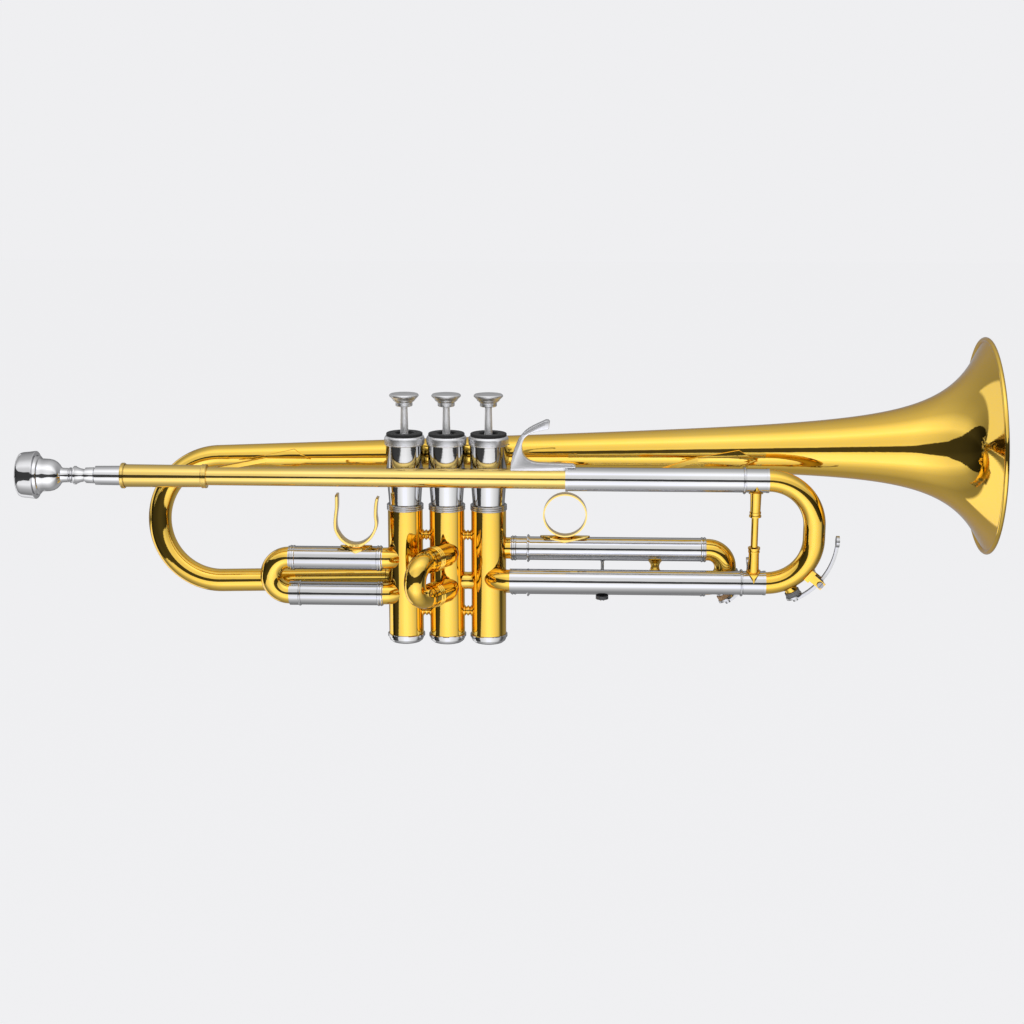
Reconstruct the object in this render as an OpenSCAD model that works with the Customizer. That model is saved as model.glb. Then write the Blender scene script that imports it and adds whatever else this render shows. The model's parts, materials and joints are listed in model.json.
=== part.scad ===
// Three-valve trumpet in its playing position.
// Millimetres. +X runs from the mouthpiece to the bell, +Z is up along the valves.
// The origin is the middle of the flat underside of the middle valve's bottom cap.

/* [Valves] */
// Distance between neighbouring valve axes
valve_pitch = 23.6; // [23:0.1:26]
// Outer radius of a brass valve casing
casing_r = 9.9; // [9.6:0.05:10.4]
// Radius of the bore in which a piston runs
valve_bore_r = 8.5; // [8:0.05:8.7]
// Length of a brass casing
casing_len = 72; // [70:0.5:80]
// Length of a nickel upper casing
baluster_len = 37.2; // [36:0.1:44]
// Radius of an upper casing under its top cap
baluster_r = 10.5; // [10:0.05:11]
// Radius of an upper casing at its waist
baluster_waist_r = 9.5; // [9.2:0.05:9.8]
// Height of a bottom cap below its casing
bottom_cap_h = 5.2; // [4.6:0.1:7]
// Radius of a bottom cap's flange
bottom_cap_r = 10.6; // [10.2:0.05:11.3]
// Depth of a cap's threaded plug in its casing
cap_plug_h = 2.8; // [2:0.1:3.5]
// Height of a top cap
top_cap_h = 5.2; // [4:0.1:6]
// Radius of a top cap
top_cap_r = 11.3; // [10.8:0.05:11.4]
// Outer radius of the felt ring on a top cap
felt_r = 10.2; // [9:0.05:10.6]
// Thickness of the felt ring
felt_h = 1.5; // [0.8:0.1:2.5]
// Travel of a piston
valve_travel = 16.2; // [15:0.1:17]
// Radius of a valve stem at its button
stem_r = 1.9; // [1.6:0.05:2.2]
// Radius of a valve stem at its piston
stem_foot_r = 2.5; // [2.2:0.05:2.8]
// Radius of a finger button
button_r = 8.2; // [7:0.1:9]
// Height of a finger button's disc
button_h = 3.8; // [2.5:0.1:5]
// Height of the cone under the disc
button_cone_h = 3.7; // [2.5:0.1:5]
// Height of the spools between the casings, lower and upper
spool_z = [18.3, 62.5];
// Heights of the crossover tubes, from valve 1 to 2 and from 2 to 3
crossover_z = [45, 36];
// Outer radius of a crossover tube
crossover_r = 5.2; // [4.6:0.1:5.6]

/* [Valve springs] */
// Mean radius of a valve spring
spring_r = 5.2; // [4.5:0.1:6]
// Radius of the valve spring's wire
spring_wire_r = 0.45; // [0.3:0.05:0.6]
// Number of curls in a valve spring
spring_turns = 8; // [6:1:10]

/* [Tubing] */
// Radius of the air bore
tube_bore_r = 5.8; // [5.6:0.02:5.9]
// Wall of bows and inner slide legs
inner_wall = 0.35; // [0.3:0.01:0.45]
// Wall of the outer slide sleeves
sleeve_wall = 0.5; // [0.4:0.01:0.6]
// Running clearance of slides and pistons, on the radius
slide_fit = 0.04; // [0.02:0.01:0.08]
// Gap that the solder fills between joined pieces
solder_gap = 0.03; // [0.02:0.01:0.06]
// Width of the bead ring round a sleeve's mouth
bead_w = 1.4; // [0.8:0.1:2.2]
// Height of the bead ring over its sleeve
bead_h = 0.6; // [0.3:0.05:0.9]
// Distance from a valve's axis to the end of its knuckles
knuckle_reach = 12.4; // [12:0.1:14]
// Thickness of the soldered flange plates
flange_t = 0.8; // [0.5:0.05:1.2]

/* [Leadpipe and mouthpiece] */
// Clear gap between the leadpipe and the upper casings
leadpipe_gap = 0.8; // [0.6:0.1:3]
// Height of the leadpipe's axis over the valve feet
leadpipe_z = 98.6; // [97:0.1:102]
// Outer radius of the leadpipe at the receiver
leadpipe_r0 = 4.95; // [4.9:0.01:5.2]
// Outer radius of the leadpipe at the tuning sleeve
leadpipe_r1 = 5.7; // [5.5:0.01:5.9]
// Wall of the leadpipe
leadpipe_wall = 0.5; // [0.4:0.05:0.7]
// Place of the receiver's mouth along X
receiver_x = -180.4; // [-190:0.1:-178]
// Length of the receiver
receiver_len = 48; // [46:0.5:56]
// Outer radius of the receiver at its mouth
receiver_r0 = 6.4; // [6.2:0.05:7]
// Outer radius of the receiver at the leadpipe
receiver_r1 = 6.15; // [5.9:0.05:6.5]
// Length of the mouthpiece outside the receiver
mouthpiece_out = 57.6; // [56:0.1:62]
// Length of the mouthpiece's shank in the receiver
shank_in = 26; // [22:0.5:27]
// Radius of the mouthpiece's shank at the receiver's mouth
shank_r = 5.45; // [5.3:0.01:5.6]
// Outer radius of the mouthpiece's rim
rim_r = 13.4; // [13:0.1:14]
// Radius of the mouthpiece's cup at its edge
cup_r = 8.3; // [7.8:0.1:8.8]
// Depth of the mouthpiece's cup
cup_depth = 11.5; // [10:0.5:14]
// Radius of the mouthpiece's throat
throat_r = 1.85; // [1.7:0.05:2.1]

/* [Tuning slide] */
// Place of the upper sleeve's end on the leadpipe, along X
tuning_sleeve_x = 67; // [60:0.5:74]
// Place of both sleeves' mouths along X
tuning_mouth_x = 166.2; // [160:0.1:172]
// Length of the ferrules between the sleeves and the bow
tuning_ferrule_len = 12.8; // [10.5:0.1:15]
// Place of the lower sleeve's axis along Y
tuning_low_y = -12; // [-13:0.1:-11.5]
// Height of the lower sleeve's axis
tuning_low_z = 39.2; // [38:0.1:41]
// Radius of the tuning bow's corners
tuning_corner_r = 26; // [22:0.1:28]
// Length of the tuning legs inside the sleeves
tuning_insert = 60; // [50:1:70]

/* [First slide] */
// Place of the first slide's axes along Y
first_y = -6.5; // [-7:0.1:-6]
// Height of the first slide's middle
first_z = 39.7; // [39:0.1:41]
// Distance between the first slide's legs
first_gap = 20.6; // [20:0.1:22]
// Length of the first slide's tubes
first_len = 53; // [48:0.5:56]
// Inner radius of the thumb saddle
saddle_r = 10.8; // [10:0.1:12]
// Height of the thumb saddle on its side towards the mouthpiece
saddle_h = 30; // [26:0.5:32]
// Height of the thumb saddle on its side towards the valves
saddle_low_h = 28.4; // [25:0.1:30]
// Thickness of the thumb saddle's strip
saddle_t = 1.8; // [1.2:0.1:2.2]
// Width of the thumb saddle's strip
saddle_w = 8; // [6:0.5:10]
// Distance from the first slide's mouth to the saddle's middle
saddle_off = 14.5; // [14:0.1:20]

/* [Second slide] */
// Angle of the second slide from straight forward, towards the mouthpiece
second_turn = 31; // [26:1:36]
// Height of the second slide's middle
second_z = 43.4; // [43:0.1:45]
// Distance between the second slide's legs
second_gap = 20.4; // [20:0.1:22]
// Length of the second slide's sockets
second_len = 16.4; // [15:0.1:20]
// Length of the second slide's legs in the sockets
second_insert = 14.5; // [12:0.1:14.6]

/* [Third slide] */
// Place of the third slide's axes along Y
third_y = 2.4; // [2:0.1:2.6]
// Height of the third slide's middle
third_z = 44.6; // [44:0.1:46]
// Distance between the third slide's legs
third_gap = 20; // [19.6:0.1:22]
// Length of the fixed collars
third_collar_len = 9; // [6:0.1:10]
// Length of the moving outer tubes
third_len = 101; // [90:0.5:105]
// Length of the fixed inner tubes inside the outer tubes
third_insert = 62; // [50:1:80]
// Straight run of the third bow before it bends
third_run = 1; // [0.5:0.1:6]
// Outer radius of the finger ring
ring_r = 12.4; // [11.5:0.1:14]
// Thickness of the finger ring's band
ring_t = 0.8; // [0.8:0.1:1.6]
// Width of the finger ring's band
ring_w = 6.5; // [5:0.5:9]
// Distance from the third slide's mouth to the ring's middle
ring_off = 21.3; // [16:0.1:28]
// Distance from the third slide's mouth to the lyre stud
lyre_off = 42.6; // [40:0.1:50]
// Distance from the third slide's mouth to the stay
stay_off = 72.4; // [60:0.1:80]
// Radius of the lyre nut
lyre_nut_r = 3.6; // [3.2:0.1:5]
// Height of the lyre nut
lyre_nut_h = 2; // [1.8:0.1:4]
// Radius of the lyre stud
lyre_stud_r = 1.2; // [1:0.05:1.6]

/* [Water keys] */
// Radius of a water key's cork
cork_r = 4.2; // [3.4:0.1:4.6]
// Thickness of a water key's cork
cork_h = 2.6; // [1.8:0.1:2.8]
// Distance along the arc from a water key's pivot to its cork
key_arm = 16.4; // [15:0.1:19]
// Radius of a water key's pivot screw
key_screw_r = 1; // [0.8:0.05:1.2]
// Length of the tuning key's thumb arm
tuning_thumb_len = 26; // [22:0.5:28]
// Length of the third key's thumb arm
third_thumb_len = 10; // [8:0.5:12]
// Place of the tuning key's pivot round the bow's corner, from straight down
tuning_key_turn = 50; // [46:1:56]
// Place of the third key's pivot round the bow, from straight down
third_key_turn = 72; // [68:1:80]
// Radius of a key spring's wire
key_wire_r = 0.22; // [0.15:0.01:0.25]
// Distance between a key spring's curls
key_spring_pitch = 0.95; // [0.9:0.01:1]

/* [Bell] */
// Distance from the upper casings to the bell's axis
bell_off = 10; // [10:0.1:13]
// Place of the bell's joint with its bow along X
bow_x = -131.8; // [-140:0.5:-125]
// Height of the bell's axis at the bow
bell_z = 102.9; // [100:0.1:106]
// Rise of the bell's axis towards the rim, in degrees
bell_pitch = 1.2; // [0:0.1:1.6]
// Length of the bell from its bow to its rim
bell_len = 435.3; // [420:0.5:450]
// Distance from the rim back to the seam of the bell's flare and its stem
bell_seam = 122; // [110:1:140]
// Radius of the bell's edge inside its rim bead
bell_rim_r = 60; // [56:0.1:64]
// Radius of the rim bead
rim_bead_r = 1.4; // [1:0.05:1.8]
// Radius of the bell's stem carried on to the rim, without its flare
bell_throat_r = 13.6; // [13:0.1:14.5]
// Depth of the bell's flare
flare_depth = 47.4; // [40:0.1:55]
// Power of the bell's flare
flare_power = 2.3; // [2:0.05:2.6]
// Wall of the bell
bell_wall = 0.6; // [0.45:0.05:0.9]
// Outer radius of the bell bow and tail
bow_r = 6.5; // [6.3:0.05:6.7]
// Place of the bell tail's axis along Y
tail_y = 8.5; // [8.2:0.1:9.5]
// Drop of the tail's axis under the bell's axis at the bow
tail_drop = 70.3; // [68:0.1:71]
// Place of the rear brace's foot on the leadpipe, along X
rear_brace_x = -148; // [-151:0.5:-144]
// Place of the front brace's foot on the tuning sleeve, along X
front_brace_x = 104; // [100:0.5:112]
// Length of a brace along X
brace_run = 55; // [48:0.5:58]

/* [Finger hook] */
// Place of the finger hook's back along X
hook_x = 36.6; // [35:0.1:39]
// Height of the finger hook over the leadpipe's axis
hook_h = 33; // [30:0.5:36]
// Width of the finger hook across
hook_w = 5.5; // [4:0.1:7]
// Length of the finger hook's foot along the pipe
hook_foot = 36; // [32:0.5:40]

/* [Hidden] */
$fn = 48;

// Colours of the finishes
BRASS = "#D9A62E";
NICKEL = "#C9CACC";
CHROME = "#DADCE0";
FELT = "#1E1E20";
STEEL = "#9EA0A4";
CORK = "#4A4B4E";
eps = 0.01;

// Tubing worked out from bore, walls and fit
inner_r = tube_bore_r + inner_wall;
sleeve_bore_r = inner_r + slide_fit;
sleeve_r = sleeve_bore_r + sleeve_wall;
bead_r = sleeve_r + bead_h;
mouth_gap = 0.4;

// Heights of the valve's pieces over its foot
casing_z0 = bottom_cap_h;
casing_z1 = casing_z0 + casing_len;
baluster_z1 = casing_z1 + baluster_len;
cap_z1 = baluster_z1 + top_cap_h;
stop_gap = 0.4;
piston_r = valve_bore_r - slide_fit;
piston_z0 = casing_z0 + cap_plug_h + valve_travel + stop_gap;
piston_body_z1 = casing_z1 - 2 * stop_gap;
piston_z1 = baluster_z1 - cap_plug_h - stop_gap;
plug_r = valve_bore_r - solder_gap;
plug_wall = 1.1;
barrel_r = piston_r - 1.4;
barrel_top = 2;
guide_h = 2;
guide_w = 3.2;
guide_r = valve_bore_r + 0.7;
passage_r = 5;
passage_turns = [0, 35, 90, -35];
passage_step = 12.6;
hub_r = 5.2;
stem_hole_r = stem_foot_r + 0.35;
button_z0 = cap_z1 + valve_travel + stop_gap;
button_z1 = button_z0 + button_cone_h + button_h;
button_socket = 2;

// Places of the pipes
leadpipe_y = -(baluster_r + leadpipe_gap + leadpipe_r1);
first_x = -(valve_pitch + knuckle_reach);
third_x = valve_pitch + knuckle_reach;
third_mouth_x = third_x + third_collar_len + mouth_gap;
third_end_x = third_mouth_x + third_len;
first_end_x = first_x - mouth_gap - first_len;
leadpipe_x0 = receiver_x + shank_in + 4;
leadpipe_x1 = tuning_sleeve_x + 8;
leadpipe_rise = (leadpipe_r1 - leadpipe_r0) / (leadpipe_x1 - leadpipe_x0);
shank_taper = 1 / 40;
tuning_bow_x = tuning_mouth_x + tuning_ferrule_len;
tuning_mid_y = (leadpipe_y + tuning_low_y) / 2;
tuning_mid_z = (leadpipe_z + tuning_low_z) / 2;
tuning_tilt = atan2(tuning_low_y - leadpipe_y, leadpipe_z - tuning_low_z);
tuning_half = norm([tuning_low_y - leadpipe_y, leadpipe_z - tuning_low_z]) / 2;

// Bends of the knuckles into the casings
elbow_r = 10;
spigot = 5;
first_bend = 45;
tail_bend = 50;
second_bend = 55;
tuning_bend = 64;
// Places of the ports along the bends, where the casing's wall is crossed
first_port = 30;
tail_port = 38;
second_port = 38;
tuning_port = 48;
port_out = 6;
port_in = 5;
second_at = [-0.4, -13];

// The bell and its bow
bell_y = baluster_r + bell_off;
tail_dy = tail_y - bell_y;
bow_half = norm([tail_dy, tail_drop]) / 2;
bow_tilt = atan2(-tail_dy, -tail_drop);
bow_wall = inner_wall + 0.1;
tail_end_x = first_x + 0.2;
tail_len = (tail_end_x - bow_x - tail_drop * sin(bell_pitch)) / cos(bell_pitch);
tail_end_z = bell_z + tail_len * sin(bell_pitch) - tail_drop * cos(bell_pitch);
bell_steps = 64;

// The water keys' radial sizes over a bow tube
nipple_h = 1.6;
key_base_t = 1;
key_pivot_h = 7;
key_barrel_r = 1.75;
key_arm_t = 1.8;
key_arm_w = 2.4;
key_curls = 2;
key_ear_t = 1;
key_spring_r = 2.35;
key_ear_y = key_arm_w / 2 + 0.3 + key_curls * key_spring_pitch + 2 * key_wire_r + 0.35;
cork_seat = nipple_h + solder_gap;

function valve_x(i) = (i - 2) * valve_pitch;

function leadpipe_skin(x) = leadpipe_r0 + leadpipe_rise * (x - leadpipe_x0);
function receiver_skin(x) = receiver_r0 + (receiver_r1 - receiver_r0) * (x - receiver_x) / receiver_len;

// Flare of the bell at a distance back from its rim
function flare(d) = (bell_rim_r - bell_throat_r) * pow(flare_depth / (d + flare_depth), flare_power);
bell_taper = (bell_throat_r + flare(bell_len) - bow_r) / bell_len;
function bell_r(d) = bell_throat_r - bell_taper * d + flare(d);
function bell_slope(d) = bell_taper + flare(d) * flare_power / (d + flare_depth);
function bell_station(k) = bell_len * pow(1 - k / bell_steps, 2);
stem_steps = 22;
flare_steps = 44;
stem_stations = [for (k = [0:stem_steps]) bell_len + (bell_seam - bell_len) * k / stem_steps];
flare_stations = [for (k = [0:flare_steps]) bell_seam * pow(1 - k / flare_steps, 2)];
function bell_point(d, inset) =
    let (s = bell_slope(d), q = sqrt(1 + s * s))
    [bell_r(d) - inset / q, bell_len - d + inset * s / q];

function pointed(c, p) = sign(c) * pow(abs(c), p);

function curve(a, b, c, d, n) = [for (k = [0:n])
    let (t = k / n, u = 1 - t)
    u * u * u * a + 3 * u * u * t * b + 3 * u * t * t * c + t * t * t * d];

// Least gap of a wound wire to itself, measured on the points of its middle line
function least_gap(path, skip, wire) =
    min([for (i = [0:len(path) - 1 - skip]) for (j = [i + skip:len(path) - 1])
        norm(path[i] - path[j])]) - 2 * wire;

module along_x() {
    rotate([0, 90, 0]) children();
}

module tube_x(x0, x1, outer, inner) {
    translate([x0, 0, 0]) along_x() difference() {
        cylinder(r = outer, h = x1 - x0);
        translate([0, 0, -1]) cylinder(r = inner, h = x1 - x0 + 2);
    }
}

module rod_x(x0, x1, r) {
    translate([x0, 0, 0]) along_x() cylinder(r = r, h = x1 - x0);
}

// Bent rod that starts at the origin towards +X and turns towards +Y, after a straight lead
module elbow(r, bend, lead) {
    if (lead > 0) rod_x(-lead, 0, r);
    translate([0, elbow_r, 0]) rotate([0, 0, -90]) rotate_extrude(angle = bend)
        translate([elbow_r, 0]) circle(r);
}

// Place on an elbow after a part of its bend, facing along it
module along_elbow(bend) {
    translate([elbow_r * sin(bend), elbow_r * (1 - cos(bend)), 0]) rotate([0, 0, bend]) children();
}

// D-shaped bow rod in the XZ plane: its legs end at x = 0, at z = half and z = -half
module bow_rod(half, corner, r) {
    for (side = [-1, 1]) translate([0, 0, side * (half - corner)]) rotate([90, 0, 0])
        rotate([0, 0, side > 0 ? 0 : -90]) rotate_extrude(angle = 90)
            translate([corner, 0]) circle(r);
    if (half > corner + eps)
        translate([corner, 0, corner - half]) cylinder(r = r, h = 2 * (half - corner));
}

module bow_tube(half, corner, outer, inner) {
    difference() {
        bow_rod(half, corner, outer);
        bow_rod(half, corner, inner);
    }
}

// Round U bow in the XZ plane, whose legs end at x = 0
module round_bow(half, outer, inner) {
    rotate([90, 0, 0]) rotate([0, 0, -90]) rotate_extrude(angle = 180)
        translate([half, 0]) difference() {
            circle(outer);
            circle(inner);
        }
}

// Pointed flange that hugs a tube along X, on the side turned by facing from straight up
module hug_flange(tube_r, half_len, half_wid, facing) {
    rotate([facing, 0, 0]) intersection() {
        tube_x(-half_len, half_len, tube_r + solder_gap + flange_t, tube_r + solder_gap);
        linear_extrude(tube_r + 2 * flange_t)
            polygon([for (a = [0:15:345])
                [half_len * pointed(cos(a), 1.5), half_wid * pointed(sin(a), 1.3)]]);
    }
}

// Closed tube through rings of points, in triangles
module sweep(rings) {
    n = len(rings[0]);
    last = len(rings) - 1;
    points = [for (ring = rings) for (p = ring) p];
    sides = [for (k = [0:last - 1]) for (j = [0:n - 1])
        let (a = k * n + j, b = k * n + (j + 1) % n)
        each [[a, b, b + n], [a, b + n, a + n]]];
    caps = [for (j = [1:n - 2]) each [[0, j + 1, j], [last * n, last * n + j, last * n + j + 1]]];
    polyhedron(points = points, faces = concat(sides, caps));
}

// Rings of a coil round Z: turns curls of the given pitch
function coil_path(r, pitch, turns) = [for (k = [0:8 * turns])
    let (a = k * 45) [r * cos(a), r * sin(a), pitch * k / 8]];
function coil_rings(r, pitch, turns, wire) = [for (k = [0:8 * turns])
    let (a = k * 45, z = pitch * k / 8)
    [for (f = [0:60:300]) let (q = r + wire * cos(f)) [q * cos(a), q * sin(a), z + wire * sin(f)]]];

// Frames that hold the pieces

module on_valve(i) {
    translate([valve_x(i), 0, 0]) children();
}

module on_leadpipe() {
    translate([0, leadpipe_y, leadpipe_z]) children();
}

module tuning_frame() {
    translate([0, tuning_mid_y, tuning_mid_z]) rotate([tuning_tilt, 0, 0]) children();
}

module second_frame() {
    translate([second_at.x, second_at.y, second_z]) rotate([0, 0, -90 - second_turn]) children();
}

module bell_frame() {
    translate([bow_x, bell_y, bell_z]) rotate([0, -bell_pitch, 0]) children();
}

// Starts of the knuckles, each at its slide and facing its valve
module first_start(side) {
    translate([first_x, first_y, first_z + side * first_gap / 2]) children();
}

module tail_start() {
    translate([tail_end_x + 0.2, tail_y, tail_end_z]) mirror([0, 1, 0]) children();
}

module third_start(side) {
    translate([third_x, third_y, third_z + side * third_gap / 2]) rotate([0, 0, 180]) children();
}

module tuning_start() {
    translate([third_x, tuning_low_y, tuning_low_z]) mirror([1, 0, 0]) children();
}

module second_start(side) {
    second_frame() translate([0, 0, side * second_gap / 2]) rotate([0, 0, 180]) children();
}

// Straight port through a casing's wall, in line with an elbow there
module port(bend) {
    along_elbow(bend) rod_x(-port_out, bend > 0 ? port_in : knuckle_reach - 1, tube_bore_r);
}

module crossover_rod(k, r) {
    translate([(k - 0.5) * valve_pitch, 0, crossover_z[k]]) along_x()
        cylinder(r = r, h = valve_pitch, center = true);
}

module casing_space(i) {
    on_valve(i) translate([0, 0, -1]) cylinder(r = casing_r + solder_gap, h = casing_z1 + 2);
}

// Valves

module valve_casing(i) {
    color(BRASS) difference() {
        on_valve(i) translate([0, 0, casing_z0]) difference() {
            cylinder(r = casing_r, h = casing_len);
            translate([0, 0, -1]) cylinder(r = valve_bore_r, h = casing_len + 2);
        }
        if (i == 1) first_start(-1) port(first_port);
        if (i == 1) first_start(1) port(first_port);
        if (i == 1) tail_start() port(tail_port);
        if (i == 2) second_start(-1) port(second_port);
        if (i == 2) second_start(1) port(second_port);
        if (i == 3) third_start(-1) port(0);
        if (i == 3) third_start(1) port(0);
        if (i == 3) tuning_start() port(tuning_port);
        if (i < 3) crossover_rod(0, crossover_r - inner_wall);
        if (i > 1) crossover_rod(1, crossover_r - inner_wall);
    }
}

module valve_balusters() {
    bead = 1.1;
    foot = 3 * bead;
    waist_z = 7;
    lip = 2.4;
    flare_pts = [for (k = [0:8]) let (t = k / 8)
        [baluster_waist_r + (baluster_r - baluster_waist_r) * sin(90 * t),
            waist_z + (baluster_len - lip - waist_z) * t]];
    color(NICKEL) for (i = [1:3]) on_valve(i) translate([0, 0, casing_z1]) difference() {
        union() {
            rotate_extrude() polygon(concat(
                [[valve_bore_r, 0], [casing_r + 0.2, 0], [casing_r + 0.2, foot],
                    [baluster_waist_r + 0.3, foot]],
                flare_pts,
                [[baluster_r, baluster_len], [valve_bore_r, baluster_len]]));
            for (k = [0:2]) rotate_extrude()
                translate([casing_r - 0.05, bead * (k + 0.5)]) circle(bead / 2);
        }
        translate([-guide_w / 2 - 0.1, -guide_r - 0.1, -1])
            cube([guide_w + 0.2, 2 * guide_r + 0.2, guide_h + 1.1]);
    }
}

module bottom_caps() {
    r = bottom_cap_r;
    h = bottom_cap_h;
    floor_t = 1.6;
    color(NICKEL) for (i = [1:3]) on_valve(i) rotate_extrude() polygon([
        [0, 0], [r - 3.6, 0], [r - 2.2, 0.45], [r - 1.2, 1.3], [r - 0.7, 2.4], [r - 0.7, h - 1.8],
        [r, h - 1.6], [r, h - 0.3], [r - 0.3, h], [plug_r, h], [plug_r, h + cap_plug_h],
        [plug_r - plug_wall, h + cap_plug_h], [plug_r - plug_wall, floor_t], [0, floor_t]]);
}

module top_caps() {
    roof = 1.5;
    edge = felt_r + 0.45;
    color(CHROME) for (i = [1:3]) on_valve(i) translate([0, 0, baluster_z1]) rotate_extrude() polygon([
        [stem_hole_r, roof], [stem_hole_r, top_cap_h + 0.1], [hub_r, top_cap_h + 0.1], [hub_r, top_cap_h],
        [edge, top_cap_h], [top_cap_r, top_cap_h - 0.9], [top_cap_r, 0.4], [top_cap_r - 0.4, 0],
        [plug_r, 0], [plug_r, -cap_plug_h], [plug_r - plug_wall, -cap_plug_h], [plug_r - plug_wall, roof]]);
}

module cap_felts() {
    soft = 0.3;
    color(FELT) for (i = [1:3]) on_valve(i) translate([0, 0, cap_z1]) rotate_extrude() polygon([
        [hub_r + solder_gap, 0], [felt_r, 0], [felt_r, felt_h - soft], [felt_r - soft, felt_h],
        [hub_r + soft, felt_h], [hub_r + solder_gap, felt_h - soft]]);
}

module valve_guides() {
    color(STEEL) for (i = [1:3]) on_valve(i) translate([0, 0, casing_z1]) {
        intersection() {
            cylinder(r = guide_r, h = guide_h);
            union() {
                cylinder(r = barrel_r - 0.2, h = guide_h);
                translate([-guide_w / 2, -guide_r, 0]) cube([guide_w, 2 * guide_r, guide_h]);
            }
        }
    }
}

module casing_spools() {
    gap = valve_pitch - 2 * casing_r;
    reach = gap / 2 + 0.6;
    end_r = 3.5;
    waist_r = 1.6;
    spool_bead_r = 2.4;
    spool_bead_w = 0.6;
    half = [for (t = [1:-0.25:0.25]) [waist_r + (end_r - waist_r) * t * t, reach * t]];
    color(BRASS) for (k = [0, 1]) for (z = spool_z) difference() {
        translate([(k - 0.5) * valve_pitch, 0, z]) along_x() rotate_extrude() polygon(concat(
            [[0, reach]],
            half,
            [[spool_bead_r, spool_bead_w], [spool_bead_r, -spool_bead_w]],
            [for (j = [3:-1:0]) [half[j].x, -half[j].y]],
            [[0, -reach]]));
        casing_space(k + 1);
        casing_space(k + 2);
    }
}

module crossover_tubes() {
    color(BRASS) for (k = [0, 1]) difference() {
        crossover_rod(k, crossover_r);
        crossover_rod(k, crossover_r - inner_wall);
        casing_space(k + 1);
        casing_space(k + 2);
    }
}

module knuckle(bend, lead) {
    difference() {
        elbow(inner_r, bend, lead);
        elbow(tube_bore_r, bend, lead > 0 ? lead + 1 : 0);
    }
}

module valve_knuckles() {
    color(BRASS) {
        difference() {
            first_start(1) knuckle(first_bend, 0);
            casing_space(1);
        }
        difference() {
            first_start(-1) knuckle(first_bend, spigot);
            casing_space(1);
        }
        difference() {
            tail_start() knuckle(tail_bend, 0);
            casing_space(1);
        }
        for (side = [-1, 1]) difference() {
            third_start(side) tube_x(0, knuckle_reach, inner_r, tube_bore_r);
            casing_space(3);
        }
        difference() {
            tuning_start() knuckle(tuning_bend, spigot);
            casing_space(3);
        }
    }
}

module piston(i) {
    color(STEEL) on_valve(i) difference() {
        translate([0, 0, piston_z0]) cylinder(r = piston_r, h = piston_z1 - piston_z0);
        translate([0, 0, piston_body_z1])
            cylinder(r = barrel_r, h = piston_z1 - barrel_top - piston_body_z1);
        for (k = [0:3]) translate([0, 0, piston_z0 + passage_r + 2.2 + k * passage_step])
            rotate([90, 0, 90 + passage_turns[k]]) cylinder(r = passage_r, h = 3 * casing_r, center = true);
        translate([-guide_w / 2 - 0.2, -casing_r, casing_z1 - stop_gap])
            cube([guide_w + 0.4, 2 * casing_r, guide_h + valve_travel + 2 * stop_gap]);
    }
}

// Valve spring between its guide and the roof of the piston's barrel
spring_z0 = casing_z1 + guide_h + spring_wire_r + 0.1;
spring_len = piston_z1 - barrel_top - spring_wire_r - 0.1 - spring_z0;
spring_pitch = spring_len / spring_turns;
echo("least gap of a valve spring to itself",
    least_gap(coil_path(spring_r, spring_pitch, spring_turns), 6, spring_wire_r));
echo("least gap of a key spring to itself",
    least_gap(coil_path(key_spring_r, key_spring_pitch, key_curls), 6, key_wire_r));

module valve_spring(i) {
    color(STEEL) on_valve(i) translate([0, 0, spring_z0])
        sweep(coil_rings(spring_r, spring_pitch, spring_turns, spring_wire_r));
}

module valve_stem(i) {
    collar_r = 5.2;
    collar_h = 1.6;
    color(CHROME) on_valve(i) translate([0, 0, piston_z1]) {
        cylinder(r = collar_r, h = collar_h);
        cylinder(r1 = stem_foot_r, r2 = stem_r, h = button_z0 - piston_z1);
        translate([0, 0, button_z0 - piston_z1]) cylinder(r = stem_r, h = button_socket - solder_gap);
    }
}

module finger_button(i) {
    r = button_r;
    foot_r = hub_r - 0.45;
    foot_h = 2;
    neck_r = 0.77 * r;
    top = button_cone_h + button_h;
    dome = 0.7;
    edge_r = r - 0.5;
    color(CHROME) on_valve(i) translate([0, 0, button_z0]) rotate_extrude() polygon(concat(
        [[stem_r + solder_gap, 0], [foot_r - 0.3, 0], [foot_r, 0.3], [foot_r, foot_h - 0.3],
            [foot_r - 0.3, foot_h], [foot_r + 0.4, foot_h + 0.4], [neck_r, button_cone_h - 0.3],
            [neck_r, button_cone_h], [r, top - dome - 1.2], [r, top - dome - 0.5], [edge_r, top - dome]],
        [for (t = [0.85:-0.17:0]) [edge_r * t, top - dome * t * t]],
        [[0, top], [0, button_socket], [stem_r + solder_gap, button_socket]]));
}

// Leadpipe, mouthpiece and hook

module leadpipe_solid(x0, x1, extra) {
    translate([x0, 0, 0]) along_x()
        cylinder(r1 = leadpipe_skin(x0) + extra, r2 = leadpipe_skin(x1) + extra, h = x1 - x0);
}

module leadpipe() {
    color(BRASS) on_leadpipe() difference() {
        leadpipe_solid(leadpipe_x0, leadpipe_x1, 0);
        leadpipe_solid(leadpipe_x0 - 1, leadpipe_x1 + 1, -leadpipe_wall);
    }
}

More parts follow.
